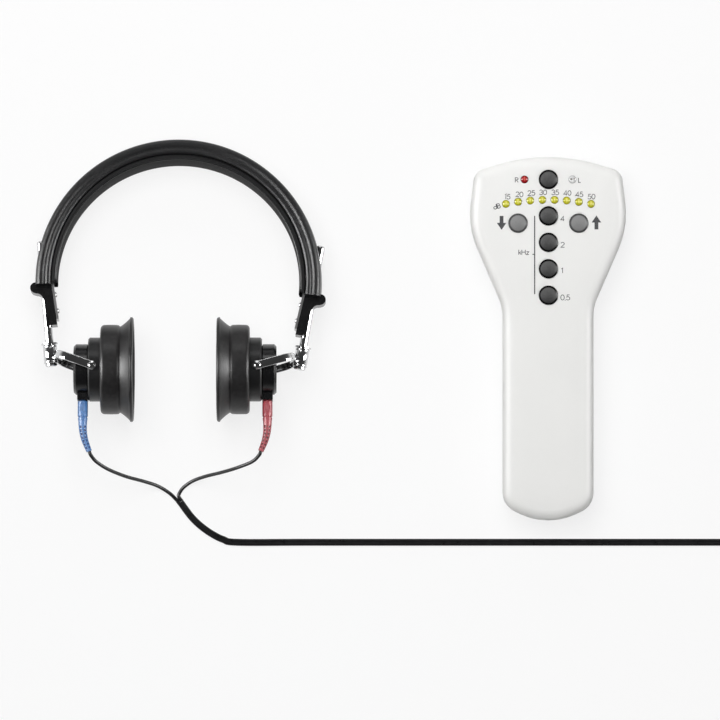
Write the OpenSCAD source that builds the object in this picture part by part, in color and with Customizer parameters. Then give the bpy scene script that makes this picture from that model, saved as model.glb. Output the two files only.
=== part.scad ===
// Hand-held screening audiometer with its two-earphone headset.
// Frame: millimetres, +Z up, the set lies on a table at z = 0. The origin is the middle of the
// hand unit's back face, +Y runs from its grip to its head, and the headset lies to the -X side.

/* [Hand unit] */
// Width of the grip
grip_w = 55.2; // [52:0.2:60]
// Width across the head's widest corners, before they are rounded
head_w = 97.6; // [94:0.2:106]
// Distance from the origin down to the rounded lower end
grip_end = 110; // [106:0.5:116]
// Height of the whole unit, lower end to top
unit_len = 221.3; // [205:0.5:245]
// Distance of the head's widest corners below the top
head_corner_down = 42.3; // [39:0.1:44]
// Thickness of the closed unit
unit_t = 32; // [31:0.5:38]
// Wall of both case halves
wall = 2.2; // [1.8:0.1:2.5]
// Radius that the case's outer edges are rounded by
edge_r = 6.5; // [5.5:0.5:8]
// Height of the joint between the two case halves
split_z = 16; // [15.5:0.25:17]

/* [Keys and lamps] */
// Diameter of every key
key_d = 11.4; // [9:0.1:12]
// How far a key goes down
key_travel = 0.8; // [0.4:0.05:0.9]
// How far a key's crown stands above the face
key_rise = 2; // [1.2:0.1:3]
// Distance between two frequency keys
key_pitch = 16.1; // [15:0.1:17]
// Distance of the highest frequency key below the top
key_top_down = 35.8; // [34.5:0.1:36.5]
// Distance of the ear key and the two ear lamps below the top
ear_key_down = 13.6; // [13:0.1:14.5]
// Sideways distance of the ear lamps
ear_lamp_x = 14.6; // [13.5:0.1:16]
// Sideways distance of the two level keys
level_key_x = 18.5; // [17:0.5:20]
// Distance of the two level keys below the top
level_key_down = 40.2; // [39:0.1:43]
// Diameter of a lamp
lamp_d = 4.6; // [3:0.1:5]
// Radius of the arc on which the level lamps sit
lamp_arc_r = 136; // [110:1:300]
// Distance between two level lamps
lamp_pitch = 7.4; // [6.6:0.1:8]
// Distance of the middle of the lamps' arc below the top
lamp_down = 26; // [25.5:0.1:26.5]

/* [Battery and socket] */
// Width of the battery door
door_w = 32; // [29:0.5:34]
// Length of the battery door, from its hinge pin
door_len = 58; // [52:0.5:60]
// Thickness of the battery door
door_t = 2; // [1.6:0.1:2.2]
// Width of the block battery
battery_w = 26.5; // [24:0.5:27]
// Length of the block battery without its studs
battery_len = 48.5; // [44:0.5:49]
// Thickness of the block battery
battery_t = 17.5; // [15:0.5:17.5]
// Radius of the headphone socket's bore
socket_r = 1.8; // [1.5:0.05:2.2]
// Depth of the headphone socket's bore
socket_depth = 15; // [12:0.5:16]
// Sideways place of the headphone socket
socket_x = 24; // [22:0.5:26]

/* [Headband] */
// Radius of the middle of the band
band_r = 80.3; // [78:0.1:88]
// Half the angle that the band spans
band_half = 94; // [92:0.5:96]
// Width of the padded band
band_w = 28; // [24:0.5:32]
// Thickness of the padded cover outside the spring strip
cover_t = 9.2; // [8.5:0.1:10]
// Thickness of the inner lining
lining_t = 3.4; // [2.8:0.1:4]
// Width of the spring strip
strip_w = 13; // [10:0.5:15]
// Thickness of the spring strip
strip_t = 1.4; // [0.8:0.1:1.6]
// Height of the band's centre above the earphones' line
band_up = 53.3; // [50:0.1:58]
// Sideways offset of the band's centre
band_off = 1.8; // [0:0.1:3]
// How far the band is rolled clockwise
band_roll = 2.4; // [0:0.1:4]

/* [Sliders and forks] */
// Turn of a slider rod against the band's end
end_step = 3.5; // [3:0.1:4.5]
// Distance of a rod's line from the band's centre
rod_dist = 81.5; // [80.5:0.1:82.5]
// Radius of a slider rod
rod_r = 2.6; // [2.2:0.05:2.8]
// Length of a slider rod above the middle of its sleeve
rod_up = 70; // [62:0.5:76]
// Reach of the left slider, from the foot of the band's radius to the sleeve
reach_left = 37; // [33:0.5:42]
// Reach of the right slider
reach_right = 32.7; // [31:0.5:42]
// Length of a slider block
block_len = 24.6; // [20:0.5:25]
// Width of a slider block
block_w = 12; // [10:0.5:14]
// Outer radius of a fork's sleeve
sleeve_r = 4.3; // [4:0.1:4.6]
// Length of a fork's sleeve
sleeve_len = 11.5; // [10:0.5:13]
// Distance from the sleeve to the fork's pins
fork_len = 27.4; // [26.5:0.1:30]
// Drop of the fork's arms against the sleeve
fork_drop = 24.8; // [20:0.1:28]
// Height of the fork's strip
fork_h = 4.8; // [4:0.1:6]
// Thickness of the fork's strip
fork_t = 1.6; // [1.2:0.1:2]
// Radius of a fork pin
pin_r = 1.4; // [1:0.05:1.6]

/* [Earphones] */
// Outer radius of the cushion's rim
rim_r = 31.9; // [30:0.1:34]
// Radius of the cushion's barrel
barrel_r = 27.2; // [26:0.1:29]
// Radius of the neck between the rim and the barrel
neck_r = 26.3; // [25.5:0.1:28]
// Distance of the cushion's face in front of the fork pins
face_in = 24.8; // [24:0.1:28]
// Radius of the hole in front of the capsule
ear_hole_r = 10.5; // [9:0.25:12]
// Radius of the earphone's body between the fork's arms
body_r = 19.5; // [18:0.1:19.8]
// Length of the earphone's body behind the fork pins
body_back = 2.6; // [2.5:0.1:3.2]
// Radius of the earphone's back part
back_r = 15.5; // [14:0.1:17]
// Length of the earphone's back part
back_len = 8.8; // [7:0.1:9.5]

/* [Leads] */
// Radius of one lead
lead_r = 1.1; // [0.9:0.05:1.2]
// Radius of a lead plug's upper part
plug_r = 3.1; // [2.7:0.1:3.4]
// Pitch between the turns of the coiled lead
coil_pitch = 4.9; // [4.75:0.05:5.2]
// Outer radius of the coil's centre line
coil_r = 35.8; // [33:0.2:40]
// Radius of the headset plug's shaft
jack_r = 1.75; // [1.5:0.05:2]
// Length of the headset plug's plain shaft
jack_len = 11; // [10:0.5:13]

/* [Hidden] */
$fn = 48;
// Clearance between pieces that only sit in each other, and between pieces that move
seat = 0.15;
run = 0.25;
// A cut runs this far past the face it opens
over = 1;
LEFT = -1;
RIGHT = 1;

// ---- Plane outlines ----

function unit(v) = v / norm(v);
function turned(v) = [-v[1], v[0]];
function sector(c, r, a0, a1, n) =
    [for (i = [0 : n]) c + r * [cos(a0 + (a1 - a0) * i / n), sin(a0 + (a1 - a0) * i / n)]];
// Signed turn from direction u to direction v, in degrees
function turn(u, v) = atan2(cross(u, v), u * v);
// The round corner at p between a and b, n steps, moved inward by d; r is its radius at d = 0.
// Corners run counter-clockwise, and a negative turn is a hollow corner.
function corner(a, p, b, r, n, d) =
    let (
        u = unit(p - a),
        v = unit(b - p),
        t = turn(u, v),
        rr = t > 0 ? r - d : r + d,
        q = p + d * (turned(u) + turned(v)) / (1 + u * v),
        side = t > 0 ? 1 : -1,
        c = q - u * rr * tan(abs(t) / 2) + side * rr * turned(u),
        a0 = atan2(u[1], u[0]) - side * 90
    )
    sector(c, rr, a0, a0 + t, n);

// ---- Solids from rings of points ----

// A ring has an even count of points, and its ends are closed by steps that run to both sides
// of its point number first, so a hollow outline closes well if it is even about that point.
module loft(rings, first = 0) {
    n = len(rings[0]);
    m = len(rings);
    function spot(k, i) = k * n + (i + n) % n;
    function cap(k) = concat(
        [for (i = [1 : n / 2 - 1]) [spot(k, first + i), spot(k, first + i + 1), spot(k, first - i)]],
        [for (i = [0 : n / 2 - 2]) [spot(k, first - i), spot(k, first + i + 1), spot(k, first - i - 1)]]
    );
    polyhedron(
        points = [for (r = rings) each r],
        faces = concat(
            cap(0),
            [for (k = [0 : m - 2], i = [0 : n - 1]) [spot(k, i), spot(k + 1, i), spot(k + 1, i + 1)]],
            [for (k = [0 : m - 2], i = [0 : n - 1]) [spot(k, i), spot(k + 1, i + 1), spot(k, i + 1)]],
            [for (f = cap(m - 1)) [f[2], f[1], f[0]]]
        )
    );
}

// A smooth curve through hand-picked points, n steps between each two
function spline(p, n) =
    let (last = len(p) - 1)
    [for (k = [0 : last - 1], i = [0 : n - 1])
        let (
            t = i / n,
            a = p[max(k - 1, 0)],
            b = p[k],
            c = p[k + 1],
            d = p[min(k + 2, last)]
        )
        0.5 * (2 * b + (c - a) * t + (2 * a - 5 * b + 4 * c - d) * t * t
            + (3 * b - a - 3 * c + d) * t * t * t),
        p[last]];
function along(p, i) = unit(p[min(i + 1, len(p) - 1)] - p[max(i - 1, 0)]);
// One ring of a swept section at point i: the section's x lies level, its y stands up
function swept_ring(p, i, section, up) =
    let (
        t = along(p, i),
        x = unit(cross(up, t)),
        y = cross(t, x)
    )
    [for (s = section) p[i] + s[0] * x + s[1] * y];
module sweep(p, section, up = [0, 0, 1])
    loft([for (i = [0 : len(p) - 1]) swept_ring(p, i, section, up)]);
function round_section(r, n) =
    [for (i = [0 : n - 1]) r * [cos((i + 0.5) * 360 / n), sin((i + 0.5) * 360 / n)]];

// ---- Hand unit ----

grip_x = grip_w / 2;
head_x = head_w / 2;
head_corner_y = unit_len - head_corner_down;
neck_y = head_corner_y - 48.95;
shoulder_y = unit_len - 8.6;
corners = [
    // x, y, radius and steps of each corner's arc, from the lower end counter-clockwise
    [0, -4.2, 39.5, 6],
    [grip_x, 8.84, 12.7, 5],
    [grip_x, neck_y, 25, 3],
    [head_x, head_corner_y, 52, 5],
    [head_x - 4.1, shoulder_y, 7.8, 5],
    [0, shoulder_y + 13.2, 106, 10],
    [4.1 - head_x, shoulder_y, 7.8, 5],
    [-head_x, head_corner_y, 52, 5],
    [-grip_x, neck_y, 25, 3],
    [-grip_x, 8.84, 12.7, 5],
];
function corner_at(i) = corners[(i + len(corners)) % len(corners)];
function at(i) = [corner_at(i)[0], corner_at(i)[1] - grip_end];
function case_corner(i, inset) =
    let (c = corner_at(i)) corner(at(i - 1), at(i), at(i + 1), c[2], c[3], inset);
function outline(inset) = [for (i = [0 : len(corners) - 1]) each case_corner(i, inset)];
function case_ring(inset, z) = [for (p = outline(inset)) [p[0], p[1], z]];
// The outline's point in the middle of the lower end
outline_mid = corners[0][3] / 2;
// Rings of a rounded edge that ends at height z, dir +1 for an upper edge and -1 for a lower one
function edge_rings(inset, r, z, dir, from, to, n) =
    [for (i = [0 : n]) let (a = from + (to - from) * i / n)
        case_ring(inset + r * (1 - cos(a)), z - dir * r * (1 - sin(a)))];
function rev(list) = [for (i = [len(list) - 1 : -1 : 0]) list[i]];

edge_steps = 5;
inner_edge_r = edge_r - wall;
inner_top = unit_t - wall;
lip_h = 1.2;
lip_t = wall / 2;
// Bevel on both halves that makes the fine groove along their joint
parting = 0.3;
function upper_inside() = edge_rings(wall, inner_edge_r, inner_top, 1, 90, 0, 3);
function upper_outside() = edge_rings(0, edge_r, unit_t, 1, 0, 90, edge_steps);
function lower_outside() = edge_rings(0, edge_r, 0, -1, 90, 0, edge_steps);
function lower_inside() = edge_rings(wall, inner_edge_r, wall, -1, 0, 90, 3);
// Places on the face: heights are counted from the unit's lower end
module on_unit(x, y, z = 0) translate([x, y - grip_end, z]) children();
// A round post, or the hole for one, at place p of the face, between two heights
module upright(p, from, to, r) on_unit(p[0], p[1], from) cylinder(h = to - from, r = r);

key_r = key_d / 2;
ear_key_y = unit_len - ear_key_down;
frequency_keys = [for (i = [0 : 3]) [0, unit_len - key_top_down - i * key_pitch]];
ear_key_at = [0, ear_key_y];
level_down_at = [-level_key_x, unit_len - level_key_down];
level_up_at = [level_key_x, unit_len - level_key_down];
key_places = concat(frequency_keys, [ear_key_at, level_down_at, level_up_at]);
function lamp_at(i) =
    let (x = (i - 3.5) * lamp_pitch)
    [x, unit_len - lamp_down - lamp_arc_r + sqrt(pow(lamp_arc_r, 2) - x * x)];
level_lamp_places = [for (i = [0 : 7]) lamp_at(i)];
lamp_places = concat(level_lamp_places, [[-ear_lamp_x, ear_key_y], [ear_lamp_x, ear_key_y]]);

post_r = 3.6;
screw_r = 1.25;
screw_head_r = 2.7;
screw_head_t = 1.8;
screw_end = split_z + 9;
thread_gap = 0.1;
counterbore = 2.4;
// Two places at the same height, left and right of the middle
function pair(x, y) = [[-x, y], [x, y]];
post_places = concat(pair(grip_x - 10.2, 16.2), pair(head_x - 12.8, shoulder_y - 22.7));

door_z = 0.3;
hinge_r = door_t / 2;
hinge_z = door_z + hinge_r;
door_low_y = 24.5;
hinge_y = door_low_y + door_len;
tab_x = 9;
tab_w = 6;
tab_t = 1.3;
tab_out = 4.5;
tab_z = wall + 0.4;
battery_z = door_z + door_t + 0.4;
battery_low_y = door_low_y + 1.5;
battery_high_y = battery_low_y + battery_len;
battery_top = battery_z + battery_t;
stud_h = 2;
stud_r = 3.6;
snap_t = 4;
snap_low_z = hinge_z + 5.5;
stud_z = battery_z + battery_t / 2;
wire_r = 0.65;
rib_t = 1.5;

board_t = 1.6;
board_z = split_z + 4;
board_top = board_z + board_t;
board_low_y = battery_high_y + snap_t + 19.5;
board_high_y = unit_len - 9.3;
board_posts = concat(pair(head_x - 22.8, head_corner_y - 16), pair(grip_x - 10, board_low_y + 8.2));
board_post_r = 2.6;
board_screw_r = 1.1;
switch_h = 3.5;
switch_w = 6;
well_depth = 1.3;
stem_r = 1.6;
flange_r = key_r + 1.1;
flange_t = 1.2;
flange_top = inner_top - 0.1;
// Shallow ring sunk round each key
halo = 0.9;
halo_deep = 0.4;

socket_y = unit_len - 3.7;
pad_deep = 3.9;
barrel_of_socket = 3.9;
socket_z = split_z;

module socket_pad(z0, z1) {
    intersection() {
        on_unit(socket_x, socket_y - pad_deep, z0) translate([-8, 0, 0]) cube([16, pad_deep + 4, z1 - z0]);
        translate([0, 0, z0]) linear_extrude(z1 - z0) polygon(outline(wall / 2));
    }
}
module socket_cut() {
    spot_r = 6;
    on_unit(socket_x, socket_y, socket_z) rotate([-90, 0, 0]) cylinder(h = 8, r = spot_r);
    on_unit(socket_x, socket_y - pad_deep - over, socket_z) rotate([-90, 0, 0])
        cylinder(h = pad_deep + 8, r = barrel_of_socket + seat);
}

module top_case() {
    rim_z = split_z + lip_h + seat;
    color("whitesmoke") difference() {
        union() {
            loft(concat(
                upper_inside(),
                [case_ring(wall, rim_z), case_ring(lip_t, rim_z)],
                [case_ring(lip_t, split_z), case_ring(parting, split_z), case_ring(0, split_z + parting)],
                upper_outside()
            ), outline_mid);
            for (p = post_places) upright(p, split_z, inner_top + wall / 2, post_r);
            for (p = board_posts) upright(p, board_top, inner_top + wall / 2, board_post_r);
            // ribs beside and over the battery
            for (s = [-1, 1])
                on_unit(s * (battery_w / 2 + 2 * seat + rib_t / 2) - rib_t / 2, battery_low_y + 4, split_z)
                    cube([rib_t, battery_len - 8, inner_top - split_z + wall / 2]);
            for (y = [battery_low_y + 9, battery_high_y - 9 - rib_t])
                on_unit(-battery_w / 2 - 1, y, battery_top + 2 * seat)
                    cube([battery_w + 2, rib_t, inner_top - battery_top - 2 * seat + wall / 2]);
            socket_pad(split_z, split_z + 8);
        }
        for (p = key_places) {
            upright(p, inner_top - over, unit_t + over, key_r + run);
            upright(p, unit_t - halo_deep, unit_t + over, key_r + halo);
        }
        for (p = lamp_places) upright(p, inner_top - over, unit_t + over, lamp_d / 2 + seat);
        for (p = post_places) upright(p, split_z - over, screw_end + 1, screw_r + thread_gap);
        for (p = board_posts) upright(p, board_top - over, board_z + 7.6, board_screw_r + 0.05);
        socket_cut();
    }
}

module bottom_case() {
    lip_z = split_z + lip_h;
    opening_w = door_w + 2 * run;
    opening_low = door_low_y - run;
    opening_high = hinge_y + hinge_r + run;
    color("whitesmoke") difference() {
        union() {
            loft(concat(
                lower_outside(),
                [case_ring(0, split_z - parting), case_ring(parting, split_z)],
                [case_ring(lip_t + seat, split_z)],
                [case_ring(lip_t + seat, lip_z), case_ring(wall, lip_z)],
                lower_inside()
            ), outline_mid);
            for (p = post_places) upright(p, wall / 2, split_z, post_r);
            socket_pad(split_z - 8, split_z);
        }
        on_unit(-opening_w / 2, opening_low, -over)
            cube([opening_w, opening_high - opening_low, wall + 2 * over]);
        for (p = post_places) {
            upright(p, -over, counterbore + screw_head_t, screw_head_r + 2 * thread_gap);
            upright(p, 0, split_z + over, screw_r + 2 * thread_gap);
        }
        socket_cut();
    }
}

module battery_door() {
    notch_n = 5;
    notch_w = 14;
    // Latch that snaps behind the case at the door's free end, and how deep it is rooted
    latch = [8, 1, 3.2];
    latch_root = 0.2;
    color("whitesmoke") difference() {
        union() {
            on_unit(-door_w / 2, door_low_y, door_z) cube([door_w, door_len, door_t]);
            on_unit(-door_w / 2, hinge_y, hinge_z) rotate([0, 90, 0]) cylinder(h = door_w, r = hinge_r);
            for (s = [-1, 1]) on_unit(s * tab_x - tab_w / 2, hinge_y - 1, 0) {
                translate([0, 0, hinge_z]) cube([tab_w, 1.8, tab_z + tab_t - hinge_z]);
                translate([0, 0, tab_z]) cube([tab_w, 1 + tab_out, tab_t]);
            }
            on_unit(-latch[0] / 2, door_low_y + seat, door_z + door_t - latch_root) cube(latch);
        }
        // grip grooves across the door's free end
        for (i = [0 : notch_n - 1]) on_unit(-notch_w / 2, door_low_y + 6 + 2 * i, door_z - over)
            cube([notch_w, 1, over + 0.6]);
    }
}

module case_screws() {
    shank_z = counterbore + screw_head_t - 0.2;
    cross_w = 0.7;
    cross_len = 3.6;
    color("silver") for (p = post_places) on_unit(p[0], p[1]) difference() {
        rotate_extrude() polygon([
            [0, counterbore], [screw_head_r, counterbore], [screw_head_r, shank_z],
            [screw_r, shank_z], [screw_r, screw_end], [0, screw_end + screw_r],
        ]);
        for (a = [0, 90]) rotate(a) translate([-cross_len / 2, -cross_w / 2, counterbore - over])
            cube([cross_len, cross_w, over + 1]);
    }
}

module circuit_board() {
    color("seagreen") difference() {
        intersection() {
            translate([0, 0, board_z]) linear_extrude(board_t) polygon(outline(wall + 2.3));
            on_unit(-head_x, board_low_y) cube([head_w, board_high_y - board_low_y, unit_t]);
        }
        for (p = post_places) upright(p, board_z - over, board_top + over, post_r + 0.6);
        for (p = board_posts) upright(p, board_z - over, board_top + over, board_screw_r + 0.3);
    }
}

module board_screws() {
    color("silver") for (p = board_posts) on_unit(p[0], p[1], board_z) rotate_extrude() polygon([
        [0, -1.5], [1.6, -1.5], [2.3, -0.9], [2.3, 0], [board_screw_r, 0], [board_screw_r, 6.5], [0, 7.2],
    ]);
}

module board_chips() {
    // x, distance below the board's end, width, length and height of each part under the board
    chips = [
        [-12, 36, 12, 18, 2.4], [12, 34, 10, 13, 2.4], [-10, 62, 9, 9, 1.8],
        [10, 66, 14, 8, 3.2], [0, 88, 16, 11, 2.8],
    ];
    color("dimgray") for (c = chips)
        on_unit(c[0] - c[2] / 2, board_high_y - c[1] - c[3] / 2, board_z - c[4]) cube([c[2], c[3], c[4]]);
}

module battery() {
    corner_r = 1.5;
    color("goldenrod") union() {
        on_unit(0, battery_high_y, battery_z + battery_t / 2) rotate([90, 0, 0]) linear_extrude(battery_len)
            rounded_box(battery_w, battery_t, corner_r);
        for (s = [-1, 1]) on_unit(s * battery_w / 4, battery_high_y - 0.5, stud_z) rotate([-90, 0, 0])
            cylinder(h = stud_h + 0.5, r = stud_r - (s + 1) * 0.35);
    }
}
function box_outline(w, h, r, n) = concat(
    sector([w / 2 - r, r - h / 2], r, -90, 0, n), sector([w / 2 - r, h / 2 - r], r, 0, 90, n),
    sector([r - w / 2, h / 2 - r], r, 90, 180, n), sector([r - w / 2, r - h / 2], r, 180, 270, n));
module rounded_box(w, h, r) polygon(box_outline(w, h, r, 5));

module battery_snap() {
    color("black") {
        difference() {
            on_unit(-battery_w / 2 + 0.5, battery_high_y + 0.4, snap_low_z)
                cube([battery_w - 1, snap_t, battery_top - snap_low_z]);
            for (s = [-1, 1]) on_unit(s * battery_w / 4, battery_high_y, stud_z) rotate([-90, 0, 0])
                cylinder(h = stud_h + 0.3, r = stud_r + seat);
        }
    }
    for (s = [-1, 1]) color(s < 0 ? "black" : "red")
        on_unit(s * 4, battery_high_y + snap_t, board_z - wire_r) rotate([-90, 0, 0])
            cylinder(h = board_low_y + 4 - battery_high_y - snap_t, r = wire_r);
}

module tact_switches() {
    color("dimgray") for (p = key_places) on_unit(p[0], p[1], board_top) difference() {
        translate([-switch_w / 2, -switch_w / 2, 0]) cube([switch_w, switch_w, switch_h]);
        translate([0, 0, switch_h - well_depth]) cylinder(h = well_depth + over, r = stem_r + seat);
    }
}

// A key: domed cap, the flange that keeps it in the case, and the foot that works the switch
module key(p, paint) {
    foot_z = board_top + switch_h - well_depth + key_travel + seat;
    low = flange_top - flange_t;
    top = unit_t + key_rise;
    crown_h = 1.1;
    crown_r = (key_r * key_r + crown_h * crown_h) / (2 * crown_h);
    half = asin(key_r / crown_r);
    color(paint) on_unit(p[0], p[1]) rotate_extrude($fn = 64) polygon(concat(
        [[0, foot_z], [stem_r, foot_z], [stem_r, low]],
        [[flange_r, low], [flange_r, flange_top], [key_r, flange_top]],
        sector([0, top - crown_r], crown_r, 90 - half, 90, 6)
    ));
}
module ear_key() key(ear_key_at, "#1c1c1e");
module key_4khz() key(frequency_keys[0], "#1c1c1e");
module key_2khz() key(frequency_keys[1], "#1c1c1e");
module key_1khz() key(frequency_keys[2], "#1c1c1e");
module key_05khz() key(frequency_keys[3], "#1c1c1e");
module level_down_key() key(level_down_at, "gray");
module level_up_key() key(level_up_at, "gray");

// A lamp: domed lens with its collar, on two wire legs
module lamp(p, paint) {
    r = lamp_d / 2;
    body_z = board_top + 4.4;
    dome_z = unit_t - 0.2;
    dome_h = 1;
    dome_r = (r * r + dome_h * dome_h) / (2 * dome_h);
    half = asin(r / dome_r);
    color(paint) on_unit(p[0], p[1]) union() {
        rotate_extrude() polygon(concat(
            [[0, body_z], [r + 0.5, body_z], [r + 0.5, body_z + 1], [r, body_z + 1]],
            sector([0, dome_z + dome_h - dome_r], dome_r, 90 - half, 90, 5)
        ));
        for (s = [-1, 1]) translate([s * 1.2, 0, board_top])
            cylinder(h = body_z - board_top + 0.2, r = 0.3, $fn = 16);
    }
}
module level_lamps() for (p = level_lamp_places) lamp(p, "#c8b820");
module right_ear_lamp() lamp([-ear_lamp_x, ear_key_y], "#b02020");
module left_ear_lamp() lamp([ear_lamp_x, ear_key_y], "#e0e0d8");

module headphone_socket() {
    back_y = socket_y - pad_deep - run;
    color("dimgray") difference() {
        union() {
            on_unit(socket_x - 5, back_y - 13, socket_z - 4) cube([10, 13, board_z - socket_z + 4]);
            on_unit(socket_x, back_y - 1, socket_z) rotate([-90, 0, 0])
                cylinder(h = socket_y - seat - back_y + 1, r = barrel_of_socket);
        }
        on_unit(socket_x, socket_y - socket_depth, socket_z) rotate([-90, 0, 0])
            cylinder(h = socket_depth + over, r = socket_r);
    }
}

// ---- Headset ----

// The set lies on the two cushions' rims and on the crown of the band, so it tips by this angle:
// the crown's padded edge (its roll's centre at lobe_z, radius lobe_r) and the rims are level.
cover_in = band_r - 2.9;
cover_out = cover_in + cover_t;
lobe_r = 2.9;
lobe_z = band_w / 2 - lobe_r;
crown_y = band_up + cover_out - lobe_r;
tilt = asin((rim_r - lobe_r) / norm([crown_y, lobe_z])) - atan2(lobe_z, crown_y);
headset_at = [-227, -18, rim_r];
module on_headset() translate(headset_at) rotate([-tilt, 0, 0]) children();
module on_band() on_headset() translate([band_off, band_up, 0]) rotate(-band_roll) children();
module on_side(side) mirror([side < 0 ? 1 : 0, 0, 0]) children();
// Lean of a slider rod against the band's middle line
lean = band_half - 90 + end_step;
// A rod's own frame: x away from the head, y up the rod, origin at the foot of the band's radius
module on_rod(side) on_band() on_side(side) rotate(-lean) translate([rod_dist, 0, 0]) children();
function reach(side) = side < 0 ? reach_left : reach_right;
module on_sleeve(side) on_rod(side) translate([0, -reach(side), 0]) children();
// The fork's frame: x runs from the pins back to the sleeve, origin at the pins
module on_fork(side) on_sleeve(side) rotate(fork_drop) translate([-fork_len, 0, 0]) children();
// The earphone's frame: x out of the head, level, origin on the pins' line
module on_earphone(side) on_fork(side) rotate(lean + side * band_roll - fork_drop) children();

function band_arc(r, n) = sector([0, 0], r, 90 - band_half, 90 + band_half, n);
// Places on the band's end plane, seen in the rod's frame
function end_point(r) = [r * cos(end_step) - rod_dist, r * sin(end_step)];
function end_down(p, d) = p + d * [-sin(end_step), -cos(end_step)];
strip_out = cover_in;
strip_in = strip_out - strip_t;
leaf_gap = 0.05;

module headband_cover() {
    // Two rolls along each edge, pinched between them
    small_r = (cover_t - 2 * lobe_r) / 2 + 0.35;
    big_x = cover_out - lobe_r;
    small_x = cover_in + small_r;
    small_z = lobe_z + lobe_r - small_r - 0.3;
    function edge() = concat(
        sector([small_x, small_z], small_r, 180, 50, 5),
        sector([big_x, lobe_z], lobe_r, 130, 0, 7)
    );
    profile = concat(edge(), rev([for (p = edge()) [p[0], -p[1]]]));
    color("#1b1b1d") difference() {
        on_band() rotate(90 - band_half) rotate_extrude(angle = 2 * band_half, $fn = 180) polygon(profile);
        // Open channels in which the rods' upper ends slide
        channel_r = rod_r + run;
        for (side = [LEFT, RIGHT]) on_rod(side) translate([-channel_r, -cover_t, -channel_r])
            cube([3 * cover_t, rod_up, 2 * channel_r]);
    }
}

module headband_lining() {
    lining_out = cover_in - 0.05;
    lining_in = lining_out - lining_t;
    half = band_w / 2 - 0.8;
    r = lining_t / 2;
    groove_z = strip_w / 2 + seat;
    function edge() = concat(
        [[strip_in - seat, groove_z], [lining_out, groove_z]],
        sector([lining_out - r, half - r], r, 0, 180, 7)
    );
    profile = concat(edge(), rev([for (p = edge()) [p[0], -p[1]]]));
    color("#161617") difference() {
        on_band() rotate(90 - band_half) rotate_extrude(angle = 2 * band_half, $fn = 180) polygon(profile);
        // The lining's ends are cut to a slant
        slant = [[-2, -2], [3, -2], [-2, 6]];
        for (side = [LEFT, RIGHT]) on_band() on_side(side) rotate(90 - band_half)
            translate([lining_in, 0, -band_w]) linear_extrude(2 * band_w) polygon(slant);
    }
}

module headband_spring() {
    steps = 72;
    tail = block_len - 3.5;
    out_r = strip_out - leaf_gap;
    a0 = 90 - band_half;
    // Both tails turn in with the slider blocks and lie on their inner faces
    a = lean + end_step;
    function tail_end(side, depth) = [
        side * (out_r * cos(a0) - tail * sin(a) - depth * cos(a)),
        out_r * sin(a0) - tail * cos(a) + depth * sin(a),
    ];
    strip = concat(
        [tail_end(RIGHT, 0)], band_arc(out_r, steps), [tail_end(LEFT, 0)],
        [tail_end(LEFT, strip_t)], rev(band_arc(strip_in, steps)), [tail_end(RIGHT, strip_t)]
    );
    color("silver") on_band() translate([0, 0, -strip_w / 2]) linear_extrude(strip_w) polygon(strip);
}

rivet_s = [-5.5, -15.5];
module band_rivets() {
    color("gainsboro") for (side = [LEFT, RIGHT], s = rivet_s) on_rod(side) {
        p = end_down(end_point(strip_out - leaf_gap), -s) + strip_t * [-cos(end_step), sin(end_step)];
        translate([p[0], p[1], 0]) rotate(-end_step) rotate([0, -90, 0])
            rotate_extrude() polygon([[0, 0], [1.7, 0], [1.4, 0.7], [0.7, 1], [0, 1]]);
    }
}

// Slider block: grips the rod in an open bore and carries the outward thumb horn
module slider_block(side) {
    top_in = end_point(cover_in);
    low_in = end_down(top_in, block_len);
    face_x = 0.95;
    horn_x = 5.5;
    horn_r = 3.3;
    horn_y = 3.9;
    fillet = [4.2, 6.2];
    arm_y = 0.3;
    shape = concat(
        [[low_in[0], low_in[1]], [face_x, low_in[1]]],
        [for (i = [0 : 6]) [face_x + fillet[0] * (1 - cos(i * 15)), arm_y - fillet[1] * (1 - sin(i * 15))]],
        sector([horn_x, horn_y], horn_r, -75, 150, 12),
        [end_point(band_r + 2), top_in]
    );
    // The band's padded end stands on the block, inside the horn's knob
    seat_low = end_point(cover_in - 3) - [0, leaf_gap];
    seat_high = end_point(cover_out + seat) - [0, leaf_gap];
    padded_end = [seat_low, seat_high, end_down(seat_high, -block_len), end_down(seat_low, -block_len)];
    color("#101012") on_rod(side) difference() {
        translate([0, 0, -block_w / 2]) linear_extrude(block_w) polygon(shape);
        translate([0, 0, -block_w]) linear_extrude(2 * block_w) polygon(padded_end);
        translate([0, -block_len, 0]) rotate([-90, 0, 0]) cylinder(h = 2 * block_len, r = rod_r + seat);
    }
}
module slider_block_left() slider_block(LEFT);
module slider_block_right() slider_block(RIGHT);

foot_head_t = 1.4;
module slider_rod(side) {
    low = -sleeve_len / 2 - run;
    foot = low - foot_head_t;
    head_r = rod_r + 1.1;
    round_r = 1.6;
    color("silver") on_sleeve(side) rotate([-90, 0, 0]) rotate_extrude() polygon(concat(
        [[0, foot], [head_r - 0.6, foot], [head_r, foot + 0.6], [head_r, low], [rod_r, low]],
        sector([rod_r - round_r, rod_up - round_r], round_r, 0, 90, 5),
        [[0, rod_up]]
    ));
}
module slider_rod_left() slider_rod(LEFT);
module slider_rod_right() slider_rod(RIGHT);

module rod_washer(side) {
    washer_t = 0.8;
    color("gainsboro") on_sleeve(side) translate([0, sleeve_len / 2 + run, 0]) rotate([-90, 0, 0])
        difference() {
            cylinder(h = washer_t, r = sleeve_r + 0.7);
            translate([0, 0, -over]) cylinder(h = washer_t + 2 * over, r = rod_r + 0.05);
        }
}
module rod_washer_left() rod_washer(LEFT);
module rod_washer_right() rod_washer(RIGHT);

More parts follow.
